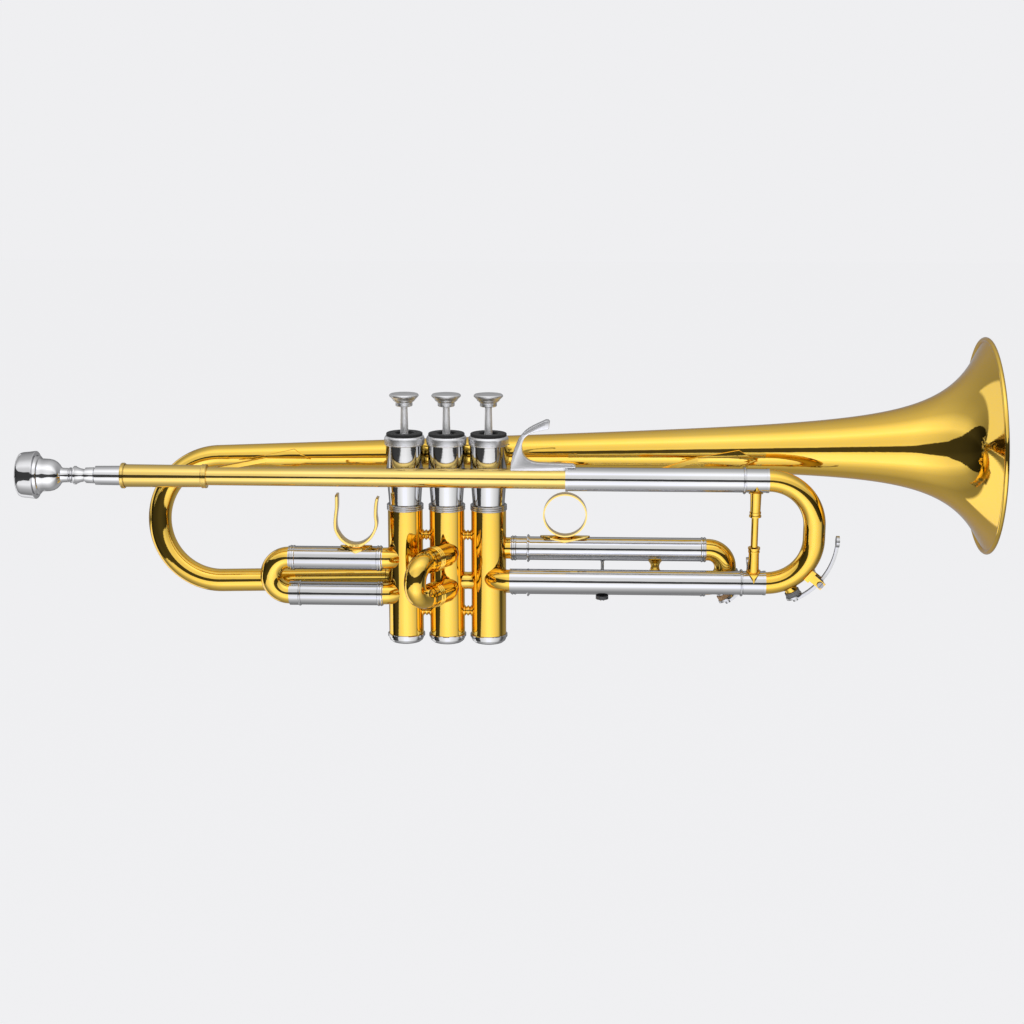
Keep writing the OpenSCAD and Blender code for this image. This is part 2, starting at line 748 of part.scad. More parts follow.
module mouthpiece_receiver() {
    ring_w = 2.2;
    ring_h = 0.45;
    shank_end_r = shank_r - (shank_in + 1) * shank_taper;
    color(BRASS) on_leadpipe() translate([receiver_x, 0, 0]) difference() {
        along_x() union() {
            cylinder(r1 = receiver_r0, r2 = receiver_r1, h = receiver_len);
            cylinder(r = receiver_r0 + ring_h, h = ring_w);
            translate([0, 0, receiver_len - ring_w]) cylinder(r = receiver_r1 + ring_h, h = ring_w);
        }
        translate([-eps, 0, 0]) along_x()
            cylinder(r1 = shank_r + slide_fit, r2 = shank_end_r + slide_fit, h = shank_in + 1);
        rod_x(shank_in, leadpipe_x0 - receiver_x, shank_end_r);
        translate([-receiver_x, 0, 0])
            leadpipe_solid(leadpipe_x0 - eps, receiver_x + receiver_len + 1, solder_gap);
    }
}

module mouthpiece() {
    m = mouthpiece_out;
    k = m / 57.6;
    end_r = shank_r - shank_in * shank_taper;
    rim_w = 8.8 * k;
    lip = 2.4;
    wall_r = cup_r + 0.5;
    neck_r = shank_r - 1.4;
    cup_pts = [for (a = [0:15:75]) [cup_r * cos(a), 2 + cup_depth * sin(a)]];
    color(CHROME) on_leadpipe() translate([receiver_x - m, 0, 0]) along_x() rotate_extrude() polygon(concat(
        cup_pts,
        [[throat_r, cup_depth + 3.5], [throat_r, cup_depth + 9], [end_r - 0.7, m + shank_in],
            [end_r, m + shank_in], [shank_r, m], [shank_r, 44 * k], [shank_r - 0.5, 43.5 * k],
            [shank_r - 0.4, 42.5 * k], [shank_r - 0.4, 38.4 * k], [neck_r + 0.3, 37.6 * k],
            [shank_r - 0.6, 33.4 * k], [shank_r, 32.8 * k], [shank_r, 31 * k],
            [neck_r, 30.4 * k], [neck_r, 29.6 * k], [neck_r + 0.4, 29.2 * k], [neck_r + 0.1, 28.4 * k],
            [neck_r, 24 * k]],
        curve([neck_r + 0.9, 23 * k], [wall_r - 1, 22.4 * k], [wall_r + 0.2, 19 * k],
            [wall_r + 0.3, 13 * k], 6),
        [[wall_r + 0.5, 11 * k], [wall_r + 1.4, 10.4 * k], [wall_r + 1.4, 9.8 * k], [rim_r - 1.2, rim_w],
            [rim_r, rim_w - 1], [rim_r, lip]],
        [for (a = [15:15:75]) [rim_r - lip + lip * cos(a), lip - lip * sin(a)]],
        [[cup_r + 2, 0], [cup_r + 0.7, 0.5]]));
}

module finger_hook() {
    h = hook_h;
    outer = concat(
        [[0, 0], [0, 0.18 * h]],
        curve([0.3, 0.28 * h], [1.4, 0.45 * h], [3, 0.62 * h], [6, 0.74 * h], 6),
        curve([7, 0.775 * h], [10, 0.88 * h], [14, 0.92 * h], [19.5, h], 7));
    tip = [[20.9, h], [21.7, 0.97 * h], [21.2, 0.87 * h]];
    inner = concat(
        curve([20.6, 0.855 * h], [14, 0.81 * h], [7, 0.79 * h], [6.4, 0.58 * h], 8),
        curve([6.4, 0.53 * h], [6.7, 0.37 * h], [10, 0.28 * h], [17, 0.275 * h], 8));
    foot = [[hook_foot - 1.5, 0.26 * h], [hook_foot, 0.23 * h], [hook_foot, 0]];
    color(NICKEL) on_leadpipe() difference() {
        translate([hook_x, hook_w / 2, 0]) rotate([90, 0, 0]) linear_extrude(hook_w)
            polygon(concat(outer, tip, inner, foot));
        leadpipe_solid(hook_x - 5, tuning_sleeve_x + 1, solder_gap);
        rod_x(tuning_sleeve_x - solder_gap, hook_x + hook_foot + 5, sleeve_r + bead_h / 2 + solder_gap);
    }
}

// Tuning slide

module tuning_sleeve_upper() {
    color(NICKEL) on_leadpipe() difference() {
        union() {
            rod_x(tuning_sleeve_x, tuning_mouth_x, sleeve_r);
            rod_x(tuning_sleeve_x, tuning_sleeve_x + bead_w, sleeve_r + bead_h / 2);
            rod_x(tuning_mouth_x - bead_w, tuning_mouth_x, bead_r);
        }
        leadpipe_solid(tuning_sleeve_x - 1, leadpipe_x1 + eps, solder_gap);
        rod_x(leadpipe_x1, tuning_mouth_x + 1, sleeve_bore_r);
    }
}

module tuning_sleeve_lower() {
    color(NICKEL) translate([0, tuning_low_y, tuning_low_z]) {
        difference() {
            union() {
                rod_x(third_x, tuning_mouth_x, sleeve_r);
                rod_x(tuning_mouth_x - bead_w, tuning_mouth_x, bead_r);
            }
            rod_x(third_x - 1, tuning_mouth_x + 1, sleeve_bore_r);
        }
    }
}

module tuning_bow() {
    color(BRASS) tuning_frame() translate([tuning_bow_x, 0, 0])
        bow_tube(tuning_half, tuning_corner_r, inner_r, tube_bore_r);
}

module tuning_legs() {
    color(NICKEL) tuning_frame() for (side = [-1, 1]) translate([0, 0, side * tuning_half]) difference() {
        union() {
            rod_x(tuning_mouth_x - tuning_insert, tuning_bow_x, inner_r);
            rod_x(tuning_mouth_x + mouth_gap, tuning_bow_x, sleeve_r);
            rod_x(tuning_bow_x - bead_w, tuning_bow_x, sleeve_r + bead_h / 3);
        }
        rod_x(tuning_mouth_x - tuning_insert - 1, tuning_bow_x + 1, tube_bore_r);
    }
}

module tuning_brace() {
    socket_r = 3.15;
    rod_r = 1.95;
    brace_ring_r = 3.4;
    ring_h = 0.9;
    ring_step = 1.9;
    socket_h = 14;
    plate_len = 4;
    plate_wid = 6.5;
    brace_x = tuning_mouth_x + mouth_gap + (tuning_ferrule_len - mouth_gap - bead_w) / 2;
    top = tuning_half - sleeve_r;
    color(BRASS) tuning_frame() translate([brace_x, 0, 0]) {
        difference() {
            union() {
                translate([0, 0, -tuning_half]) cylinder(r = rod_r, h = 2 * tuning_half);
                for (side = [0, 1]) mirror([0, 0, side]) {
                    translate([0, 0, top - socket_h])
                        cylinder(r1 = socket_r - 0.35, r2 = socket_r, h = socket_h + 2);
                    for (k = [0, 1]) translate([0, 0, top - socket_h - 0.2 + ring_step * k])
                        cylinder(r = brace_ring_r - 0.2 * k, h = ring_h);
                }
            }
            for (side = [-1, 1]) translate([0, 0, side * tuning_half])
                rod_x(-tuning_ferrule_len, tuning_ferrule_len, sleeve_r + solder_gap);
        }
        for (side = [0, 1]) mirror([0, 0, side]) translate([0, 0, tuning_half])
            hug_flange(sleeve_r, plate_len, plate_wid, 180);
    }
}

// Water keys. A key sits round a bow's corner; its places are angles from straight down.

module at_turn(turn, reach) {
    translate([reach * sin(turn), 0, -reach * cos(turn)]) rotate([0, 180 - turn, 0]) children();
}

module key_arc(turn0, turn1, reach0, reach1, width) {
    rotate([90, 0, 0]) rotate([0, 0, turn0 - 90]) rotate_extrude(angle = turn1 - turn0)
        translate([reach0, -width / 2]) square([reach1 - reach0, width]);
}

function key_reach(corner) = corner + inner_r + key_pivot_h;
function cork_turn(corner, turn) = turn - key_arm / key_reach(corner) * 180 / PI;

module key_saddle(half, corner, turn) {
    skin = corner + inner_r;
    block_l = 7;
    ear_l = 4.4;
    ear_top = key_pivot_h + 2;
    difference() {
        union() {
            at_turn(turn, skin) translate([-block_l / 2, -key_ear_y - key_ear_t, -2])
                cube([block_l, 2 * (key_ear_y + key_ear_t), 2 + key_base_t]);
            for (side = [0, 1]) mirror([0, side, 0]) at_turn(turn, skin)
                translate([-ear_l / 2, key_ear_y, -2]) cube([ear_l, key_ear_t, ear_top + 2]);
        }
        translate([0, 0, half - corner]) bow_rod(half, corner, inner_r + solder_gap);
        at_turn(turn, skin + key_pivot_h) rotate([90, 0, 0])
            cylinder(r = key_screw_r + solder_gap, h = 40, center = true);
    }
    difference() {
        at_turn(cork_turn(corner, turn), skin - 1.5) cylinder(r = cork_r - 0.6, h = nipple_h + 1.5);
        at_turn(cork_turn(corner, turn), skin - 4) cylinder(r = cork_r - 1.5, h = nipple_h + 8);
        translate([0, 0, half - corner]) bow_rod(half, corner, inner_r + solder_gap);
    }
}

module key_cork(corner, turn) {
    at_turn(cork_turn(corner, turn), corner + inner_r + cork_seat) cylinder(r = cork_r, h = cork_h);
}

module key_lever(corner, turn, thumb_len) {
    reach = key_reach(corner);
    skin = corner + inner_r;
    cork_at = cork_turn(corner, turn);
    thumb_at = turn + thumb_len / reach * 180 / PI;
    cup_at = skin + cork_seat + cork_h + solder_gap;
    cup_t = 1.3;
    paddle_r = 3.2;
    difference() {
        union() {
            key_arc(cork_at, thumb_at, reach - key_arm_t / 2, reach + key_arm_t / 2, key_arm_w);
            at_turn(cork_at, cup_at) cylinder(r = cork_r + 0.4, h = cup_t);
            at_turn(cork_at, cup_at) cylinder(r = key_arm_w * 0.7, h = reach + key_arm_t / 2 - cup_at);
            at_turn(turn, reach) rotate([90, 0, 0])
                cylinder(r = key_barrel_r, h = 2 * key_ear_y - 0.2, center = true);
            at_turn(thumb_at, reach - key_arm_t / 2) cylinder(r = paddle_r, h = key_arm_t);
        }
        at_turn(turn, reach) rotate([90, 0, 0])
            cylinder(r = key_screw_r + slide_fit + 0.01, h = 40, center = true);
    }
}

module key_spring(corner, turn) {
    for (side = [0, 1]) mirror([0, side, 0]) at_turn(turn, key_reach(corner))
        translate([0, key_arm_w / 2 + 0.3 + key_wire_r + key_curls * key_spring_pitch, 0])
            rotate([90, 0, 0])
            sweep(coil_rings(key_spring_r, key_spring_pitch, key_curls, key_wire_r));
}

module key_screw(corner, turn) {
    head_h = 0.8;
    head_r = key_screw_r + 0.8;
    grip = key_ear_y + key_ear_t;
    at_turn(turn, key_reach(corner)) rotate([90, 0, 0]) {
        translate([0, 0, -grip]) cylinder(r = key_screw_r, h = 2 * grip);
        difference() {
            translate([0, 0, grip]) cylinder(r = head_r, h = head_h);
            translate([-head_r, -0.2, grip + head_h / 2]) cube([2 * head_r, 0.4, head_h]);
        }
    }
}

module on_tuning_corner() {
    tuning_frame() translate([tuning_bow_x, 0, tuning_corner_r - tuning_half]) children();
}

module on_third_bow() {
    translate([third_end_x + third_run, third_y, third_z]) children();
}

module tuning_key_saddle() {
    color(BRASS) on_tuning_corner() key_saddle(tuning_half, tuning_corner_r, tuning_key_turn);
}

module tuning_key_lever() {
    color(NICKEL) on_tuning_corner() key_lever(tuning_corner_r, tuning_key_turn, tuning_thumb_len);
}

module tuning_key_cork() {
    color(CORK) on_tuning_corner() key_cork(tuning_corner_r, tuning_key_turn);
}

module tuning_key_spring() {
    color(STEEL) on_tuning_corner() key_spring(tuning_corner_r, tuning_key_turn);
}

module tuning_key_screw() {
    color(STEEL) on_tuning_corner() key_screw(tuning_corner_r, tuning_key_turn);
}

// First slide

module on_first(side) {
    translate([0, first_y, first_z + side * first_gap / 2]) children();
}

module first_lower_sleeve() {
    ferrule_w = 5.6;
    color(NICKEL) on_first(-1) difference() {
        union() {
            rod_x(first_end_x + mouth_gap, first_x, sleeve_r);
            rod_x(first_end_x + mouth_gap, first_end_x + mouth_gap + ferrule_w, sleeve_r + bead_h / 3);
        }
        rod_x(first_end_x, first_x + 1, sleeve_bore_r);
    }
}

module first_outer_tube() {
    ferrule_w = 5.6;
    color(NICKEL) on_first(1) difference() {
        union() {
            rod_x(first_end_x, first_x - mouth_gap, sleeve_r);
            rod_x(first_x - mouth_gap - ferrule_w, first_x - mouth_gap, sleeve_r + bead_h / 3);
        }
        rod_x(first_end_x - 1, first_x, sleeve_bore_r);
    }
}

module first_inner_leg() {
    color(NICKEL) on_first(-1) tube_x(first_end_x, first_x - spigot - 3, inner_r, tube_bore_r);
}

module first_bow() {
    color(BRASS) translate([first_end_x, first_y, first_z]) mirror([1, 0, 0])
        round_bow(first_gap / 2, inner_r, tube_bore_r);
}

module thumb_saddle() {
    outer = saddle_r + saddle_t;
    lift = sleeve_r + solder_gap + flange_t - 0.3;
    plate_len = 9;
    plate_wid = 5.5;
    color(BRASS) on_first(1) translate([first_x - mouth_gap - saddle_off, 0, 0]) {
        translate([0, saddle_w / 2, lift + outer]) rotate([90, 0, 0])
            linear_extrude(saddle_w) difference() {
                union() {
                    circle(outer);
                    translate([-outer, 0]) square([outer, saddle_h - outer]);
                    square([outer, saddle_low_h - outer]);
                }
                circle(saddle_r);
                translate([-saddle_r, 0]) square([2 * saddle_r, saddle_h]);
            }
        hug_flange(sleeve_r, plate_len, plate_wid, 0);
    }
}

// Second slide

module second_sockets() {
    color(BRASS) for (side = [-1, 1]) difference() {
        union() {
            second_start(side) elbow(inner_r, second_bend, 0);
            second_frame() translate([0, 0, side * second_gap / 2]) {
                rod_x(-0.6, second_len, sleeve_r);
                rod_x(second_len - bead_w, second_len, sleeve_r + bead_h / 2);
            }
        }
        second_start(side) elbow(tube_bore_r, second_bend, 0);
        second_frame() translate([0, 0, side * second_gap / 2]) {
            rod_x(0, second_len - second_insert - 1, tube_bore_r);
            rod_x(second_len - second_insert - 1, second_len + 1, sleeve_bore_r);
        }
        casing_space(2);
    }
}

module second_slide() {
    collar = 1.6;
    knob_turn = 45;
    knob_r = 1.9;
    half = second_gap / 2;
    color(BRASS) second_frame() {
        difference() {
            union() {
                for (side = [-1, 1]) translate([0, 0, side * half]) {
                    rod_x(second_len - second_insert, second_len + mouth_gap + collar, inner_r);
                    rod_x(second_len + mouth_gap, second_len + mouth_gap + collar, sleeve_r);
                }
            }
            for (side = [-1, 1]) translate([0, 0, side * half])
                rod_x(-1, second_len + mouth_gap + collar + 1, tube_bore_r);
        }
        translate([second_len + mouth_gap + collar, 0, 0]) {
            round_bow(half, inner_r, tube_bore_r);
            translate([half * cos(knob_turn), 0, -half * sin(knob_turn)]) rotate([-90, 0, 0]) {
                translate([0, 0, inner_r - 0.1]) cylinder(r = 0.9, h = 2.4);
                translate([0, 0, inner_r + 3]) sphere(knob_r);
            }
        }
    }
}

// Third slide

module on_third(side) {
    translate([0, third_y, third_z + side * third_gap / 2]) children();
}

module slide_inner_tubes() {
    color(NICKEL) {
        on_first(1) tube_x(first_end_x + 8, first_x, inner_r, tube_bore_r);
        for (side = [-1, 1]) on_third(side) difference() {
            union() {
                rod_x(third_x, third_mouth_x + third_insert, inner_r);
                rod_x(third_x, third_mouth_x - mouth_gap, sleeve_r);
            }
            rod_x(third_x - 1, third_mouth_x + third_insert + 1, tube_bore_r);
        }
    }
}

module third_outer_tubes() {
    color(NICKEL) for (side = [-1, 1]) on_third(side) difference() {
        union() {
            rod_x(third_mouth_x, third_end_x, sleeve_r);
            rod_x(third_mouth_x, third_mouth_x + bead_w, bead_r);
        }
        rod_x(third_mouth_x - 1, third_end_x + 1, sleeve_bore_r);
    }
}

module third_bow() {
    lap = 6;
    color(BRASS) {
        on_third_bow() round_bow(third_gap / 2, inner_r, tube_bore_r);
        for (side = [-1, 1]) on_third(side)
            tube_x(third_end_x - lap, third_end_x + third_run, inner_r, tube_bore_r);
    }
}

module third_tube_space() {
    for (side = [-1, 1]) on_third(side) rod_x(third_mouth_x, third_end_x, sleeve_r + solder_gap);
}

third_stay_half = third_gap / 2 - sleeve_r + 1.5;
lyre_gap = 0.5;
lyre_stud_len = lyre_gap + lyre_nut_h + 1;

module third_stay() {
    stay_end_r = 5.6;
    stay_waist_r = 2.4;
    half = third_stay_half;
    color(BRASS) difference() {
        translate([third_mouth_x + stay_off, third_y, third_z]) rotate_extrude() polygon(concat(
            [[0, -half]],
            [for (t = [-1:0.25:1]) [stay_waist_r + (stay_end_r - stay_waist_r) * t * t, half * t]],
            [[0, half]]));
        third_tube_space();
    }
}

module third_fittings() {
    post_r = 0.9;
    foot_r = 3;
    foot_h = 2.2;
    half = third_stay_half;
    stud_z = third_z - third_gap / 2 - sleeve_r - lyre_stud_len;
    color(NICKEL) {
        difference() {
            translate([third_mouth_x + lyre_off, third_y, third_z]) union() {
                translate([0, 0, -half]) cylinder(r = post_r, h = 2 * half);
                for (side = [0, 1]) mirror([0, 0, side]) translate([0, 0, half - foot_h])
                    cylinder(r1 = post_r, r2 = foot_r, h = foot_h);
            }
            third_tube_space();
        }
        difference() {
            translate([third_mouth_x + lyre_off, third_y, stud_z])
                cylinder(r = lyre_stud_r, h = lyre_stud_len + 1.5);
            third_tube_space();
        }
        on_third_bow() key_saddle(third_gap / 2, third_gap / 2, third_key_turn);
    }
}

module lyre_nut() {
    ribs = 20;
    rib_r = 0.4;
    nut_z = third_z - third_gap / 2 - sleeve_r - lyre_gap - lyre_nut_h;
    color(STEEL) translate([third_mouth_x + lyre_off, third_y, nut_z]) difference() {
        cylinder(r = lyre_nut_r, h = lyre_nut_h);
        translate([0, 0, -1]) cylinder(r = lyre_stud_r + slide_fit, h = lyre_nut_h + 2);
        for (k = [0:ribs - 1]) rotate([0, 0, k * 360 / ribs]) translate([lyre_nut_r + 0.15, 0, -1])
            cylinder(r = rib_r, h = lyre_nut_h + 2, $fn = 16);
    }
}

module finger_ring() {
    ring_base_len = 14;
    ring_base_wid = 5;
    lift = sleeve_r + solder_gap + flange_t - 0.3;
    color(BRASS) on_third(1) translate([third_mouth_x + ring_off, 0, 0]) {
        translate([0, 0, lift + ring_r]) rotate([90, 0, 0]) difference() {
            cylinder(r = ring_r, h = ring_w, center = true);
            cylinder(r = ring_r - ring_t, h = ring_w + 1, center = true);
        }
        hug_flange(sleeve_r, ring_base_len, ring_base_wid, 0);
    }
}

module third_key_lever() {
    color(NICKEL) on_third_bow() key_lever(third_gap / 2, third_key_turn, third_thumb_len);
}

module third_key_cork() {
    color(CORK) on_third_bow() key_cork(third_gap / 2, third_key_turn);
}

module third_key_spring() {
    color(STEEL) on_third_bow() key_spring(third_gap / 2, third_key_turn);
}

module third_key_screw() {
    color(STEEL) on_third_bow() key_screw(third_gap / 2, third_key_turn);
}

// Bell

module bell_solid(inset) {
    along_x() rotate_extrude() polygon(concat(
        [[0, 0]],
        [for (k = [0:bell_steps]) bell_point(bell_station(k), inset)],
        [[0, bell_point(0, inset).y]]));
}

module bell_wall_between(stations) {
    last = len(stations) - 1;
    along_x() rotate_extrude() polygon(concat(
        [for (d = stations) bell_point(d, 0)],
        [for (k = [last:-1:0]) bell_point(stations[k], bell_wall)]));
}

module bell_flare() {
    color(BRASS) bell_frame() {
        bell_wall_between(flare_stations);
        translate([bell_len, 0, 0]) along_x() rotate_extrude()
            translate([bell_rim_r, 0]) circle(rim_bead_r);
    }
}

module bell_stem() {
    color(BRASS) bell_frame() bell_wall_between(stem_stations);
}

module bell_bow() {
    color(BRASS) bell_frame() rotate([bow_tilt, 0, 0]) {
        translate([0, 0, bow_half]) mirror([1, 0, 0]) round_bow(bow_half, bow_r, bow_r - bow_wall);
        translate([0, 0, 2 * bow_half]) tube_x(0, tail_len, bow_r, bow_r - bow_wall);
    }
}

// Strap between a pipe at the front and the bell behind it, with a pointed plate on the bell
module bell_brace(foot_x, pipe_r, plate_on) {
    strap_t = 0.8;
    strap_h = 2.8;
    flange_len = 5;
    flange_wid = 4.5;
    flange_back = 2;
    plate_tip = 25;
    plate_mid = 15.5;
    plate_tail = 16.5;
    plate_wid = 5.5;
    end_x = foot_x + brace_run;
    dy = bell_y - leadpipe_y;
    dz = bell_z + (end_x - bow_x) * sin(bell_pitch) - leadpipe_z;
    span = norm([dy, dz]);
    rise = atan2(dz, dy);
    skin = bell_r(bell_len - (end_x - bow_x));
    flange_x = foot_x + brace_run * pipe_r / span - flange_back;
    plate_x = end_x - brace_run * skin / span + plate_on;
    color(BRASS) difference() {
        translate([0, leadpipe_y, leadpipe_z]) rotate([rise, 0, 0]) {
            translate([0, 0, -strap_h / 2]) linear_extrude(strap_h) polygon([
                [foot_x - strap_t, 0], [foot_x + strap_t, 0],
                [end_x + strap_t, span], [end_x - strap_t, span]]);
            translate([flange_x, 0, 0]) hug_flange(pipe_r, flange_len, flange_wid, -90);
        }
        bell_frame() bell_solid(-solder_gap);
        translate([foot_x, leadpipe_y, leadpipe_z])
            rod_x(-2 * flange_len, 3 * flange_len, pipe_r + solder_gap);
    }
    color(BRASS) bell_frame() difference() {
        intersection() {
            bell_solid(-flange_t - solder_gap);
            rotate([rise, 0, 0]) translate([plate_x - bow_x, 0, 0]) rotate([90, 0, 0])
                linear_extrude(skin + plate_wid) polygon([
                    [plate_tip, 0], [plate_mid, plate_wid], [-plate_tail, 0], [plate_mid, -plate_wid]]);
        }
        bell_solid(-solder_gap);
    }
}

module rear_bell_brace() {
    bell_brace(rear_brace_x, receiver_skin(rear_brace_x), 0);
}

module front_bell_brace() {
    bell_brace(front_brace_x, sleeve_r, 8);
}

valve_casing(1);  // valve_casing_1
valve_casing(2);  // valve_casing_2
valve_casing(3);  // valve_casing_3
valve_balusters();
bottom_caps();
top_caps();
cap_felts();
valve_guides();
casing_spools();
crossover_tubes();
valve_knuckles();
leadpipe();
mouthpiece_receiver();
tuning_sleeve_upper();
tuning_sleeve_lower();
finger_hook();
bell_flare();
bell_stem();
bell_bow();
rear_bell_brace();
front_bell_brace();
slide_inner_tubes();
first_lower_sleeve();
second_sockets();
piston(1);  // piston_1
piston(2);  // piston_2
piston(3);  // piston_3
valve_spring(1);  // valve_spring_1
valve_spring(2);  // valve_spring_2
valve_spring(3);  // valve_spring_3
valve_stem(1);  // valve_stem_1
valve_stem(2);  // valve_stem_2
valve_stem(3);  // valve_stem_3
finger_button(1);  // finger_button_1
finger_button(2);  // finger_button_2
finger_button(3);  // finger_button_3
tuning_bow();
tuning_legs();
tuning_brace();
tuning_key_saddle();
tuning_key_lever();
tuning_key_cork();
tuning_key_spring();
tuning_key_screw();
first_bow();
first_outer_tube();
first_inner_leg();
thumb_saddle();
second_slide();
third_outer_tubes();
third_bow();
third_stay();
third_fittings();
finger_ring();
third_key_lever();
third_key_cork();
third_key_spring();
third_key_screw();
lyre_nut();
mouthpiece();
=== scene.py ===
import json
import math

import bpy
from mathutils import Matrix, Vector


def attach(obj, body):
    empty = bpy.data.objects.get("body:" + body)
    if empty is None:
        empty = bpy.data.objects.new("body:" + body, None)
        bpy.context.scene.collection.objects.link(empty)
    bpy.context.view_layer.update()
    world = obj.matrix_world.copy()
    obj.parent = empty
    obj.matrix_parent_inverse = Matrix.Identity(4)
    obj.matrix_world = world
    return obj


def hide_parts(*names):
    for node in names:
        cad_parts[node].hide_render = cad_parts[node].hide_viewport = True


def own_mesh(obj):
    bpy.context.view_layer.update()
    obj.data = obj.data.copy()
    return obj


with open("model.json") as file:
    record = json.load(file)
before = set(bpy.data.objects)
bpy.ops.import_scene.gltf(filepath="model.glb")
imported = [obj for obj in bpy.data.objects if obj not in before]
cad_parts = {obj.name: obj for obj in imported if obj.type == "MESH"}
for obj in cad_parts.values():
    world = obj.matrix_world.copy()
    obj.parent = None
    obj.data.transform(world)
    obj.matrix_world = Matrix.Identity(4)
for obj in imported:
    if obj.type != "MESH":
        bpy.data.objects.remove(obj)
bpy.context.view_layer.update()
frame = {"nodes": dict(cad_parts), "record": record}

MM = 0.001
FULL_TURN = 2 * math.pi
ALONG_X = Vector((1, 0, 0))
UP = Vector((0, 0, 1))
TURNED_SMOOTH = math.radians(35)
BENT_SMOOTH = math.radians(40)
nodes = frame["nodes"]

# Sizes of the instrument, in millimetres, as the solids have them
VALVE_PITCH = 23.6
VALVE_X = (-VALVE_PITCH, 0, VALVE_PITCH)
VALVE_BORE = 8.5
CASING_SEAT = 9.4
CASING_TOP = 77.2
CAP_FOOT = 114.4
CROSSOVER = 5.2
REAR_CROSSOVER_Z = 45
FRONT_CROSSOVER_Z = 36
SPOOL_HEIGHTS = (18.3, 62.5)
BELL_START = Vector((-131.8, 20.5, 102.9))
BELL_RISE = math.radians(1.2)
BELL_LENGTH = 435.3
BELL_EDGE = 60.0
BELL_THROAT = 13.6
BELL_STEM = 6.5
BELL_WALL = 0.6
FLARE_DEPTH = 47.4
FLARE_POWER = 2.3
RIM_BEAD = 1.4
SLEEVE = 6.69
FERRULE = 6.89
MOUTHPIECE_X = -238
# Axes of the tubes that run along X, as places along Y and Z
LEADPIPE_AT = (-17, 98.6)
LOWER_SLEEVE_AT = (-12, 39.2)
FIRST_UPPER_AT = (-6.5, 50)
FIRST_LOWER_AT = (-6.5, 29.4)
THIRD_UPPER_AT = (2.4, 54.6)
THIRD_LOWER_AT = (2.4, 34.6)
# The second slide stands out from the middle casing at a slant
SECOND_START = Vector((-0.4, -13, 43.4))
SECOND_TURN = math.radians(-121)
SECOND_WAY = Vector((math.cos(SECOND_TURN), math.sin(SECOND_TURN), 0))
SECOND_RISE = 10.2


# Node helpers


def add_node(tree, kind, place, **settings):
    node = tree.nodes.new(kind)
    node.location = place
    for key, value in settings.items():
        setattr(node, key, value)
    return node


def noise(tree, vector, scale, detail, place):
    """Noise of a given scale over the surface."""
    field = add_node(tree, "ShaderNodeTexNoise", place)
    field.inputs["Scale"].default_value = scale
    field.inputs["Detail"].default_value = detail
    tree.links.new(vector, field.inputs["Vector"])
    return field.outputs["Fac"]


def span(tree, value, low, high, to_low, to_high, place):
    """Carries a value from one range over to another, clamped."""
    node = add_node(tree, "ShaderNodeMapRange", place)
    node.inputs["From Min"].default_value = low
    node.inputs["From Max"].default_value = high
    node.inputs["To Min"].default_value = to_low
    node.inputs["To Max"].default_value = to_high
    tree.links.new(value, node.inputs["Value"])
    return node.outputs["Result"]


def reckon(tree, operation, first, second, place):
    """Works out one value from two, each a number or a socket, or from the first alone."""
    node = add_node(tree, "ShaderNodeMath", place, operation=operation)
    for socket, value in zip(node.inputs, (first, second)):
        if isinstance(value, (int, float)):
            socket.default_value = value
        elif value is not None:
            tree.links.new(value, socket)
    return node.outputs[0]


def blend_colour(tree, factor, first, second, place):
    """Mixes two colours by a factor over the surface."""
    node = add_node(tree, "ShaderNodeMix", place, data_type="RGBA")
    tree.links.new(factor, node.inputs["Factor"])
    node.inputs["A"].default_value = (*first, 1)
    node.inputs["B"].default_value = (*second, 1)
    return node.outputs["Result"]


def make_handling_group():
    """Wear of a handled metal surface: cloudy smears, fine hairlines and a slow drift of tone."""
    group = bpy.data.node_groups.new("handling_marks", "ShaderNodeTree")
    for name in ("Smear Scale", "Hairline Scale"):
        group.interface.new_socket(name, in_out="INPUT", socket_type="NodeSocketFloat")
    for name in ("Smear", "Hairline", "Drift"):
        group.interface.new_socket(name, in_out="OUTPUT", socket_type="NodeSocketFloat")
    inward = add_node(group, "NodeGroupInput", (-900, 0))
    outward = add_node(group, "NodeGroupOutput", (500, 0))
    place = add_node(group, "ShaderNodeTexCoord", (-900, -200))
    smear = add_node(group, "ShaderNodeTexNoise", (-500, 200))
    smear.inputs["Detail"].default_value = 5
    smear.inputs["Roughness"].default_value = 0.6
    smear.inputs["Distortion"].default_value = 0.8
    group.links.new(place.outputs["Object"], smear.inputs["Vector"])
    group.links.new(inward.outputs["Smear Scale"], smear.inputs["Scale"])
    smear_mask = span(group, smear.outputs["Fac"], 0.42, 0.72, 0, 1, (-250, 200))
    group.links.new(smear_mask, outward.inputs["Smear"])
    stretch = add_node(group, "ShaderNodeMapping", (-700, -100))
    stretch.inputs["Rotation"].default_value = (0.3, 0.1, 0.2)
    stretch.inputs["Scale"].default_value = (0.06, 1, 1)
    group.links.new(place.outputs["Object"], stretch.inputs["Vector"])
    hairline = add_node(group, "ShaderNodeTexNoise", (-500, -100))
    hairline.inputs["Detail"].default_value = 2
    group.links.new(stretch.outputs["Vector"], hairline.inputs["Vector"])
    group.links.new(inward.outputs["Hairline Scale"], hairline.inputs["Scale"])
    hairline_mask = span(group, hairline.outputs["Fac"], 0.35, 0.65, 0, 1, (-250, -100))
    group.links.new(hairline_mask, outward.inputs["Hairline"])
    drift = noise(group, place.outputs["Object"], 9, 2, (-500, -400))
    drift_mask = span(group, drift, 0.35, 0.65, 0, 1, (-250, -400))
    group.links.new(drift_mask, outward.inputs["Drift"])
    return group


handling = make_handling_group()


# Finishes


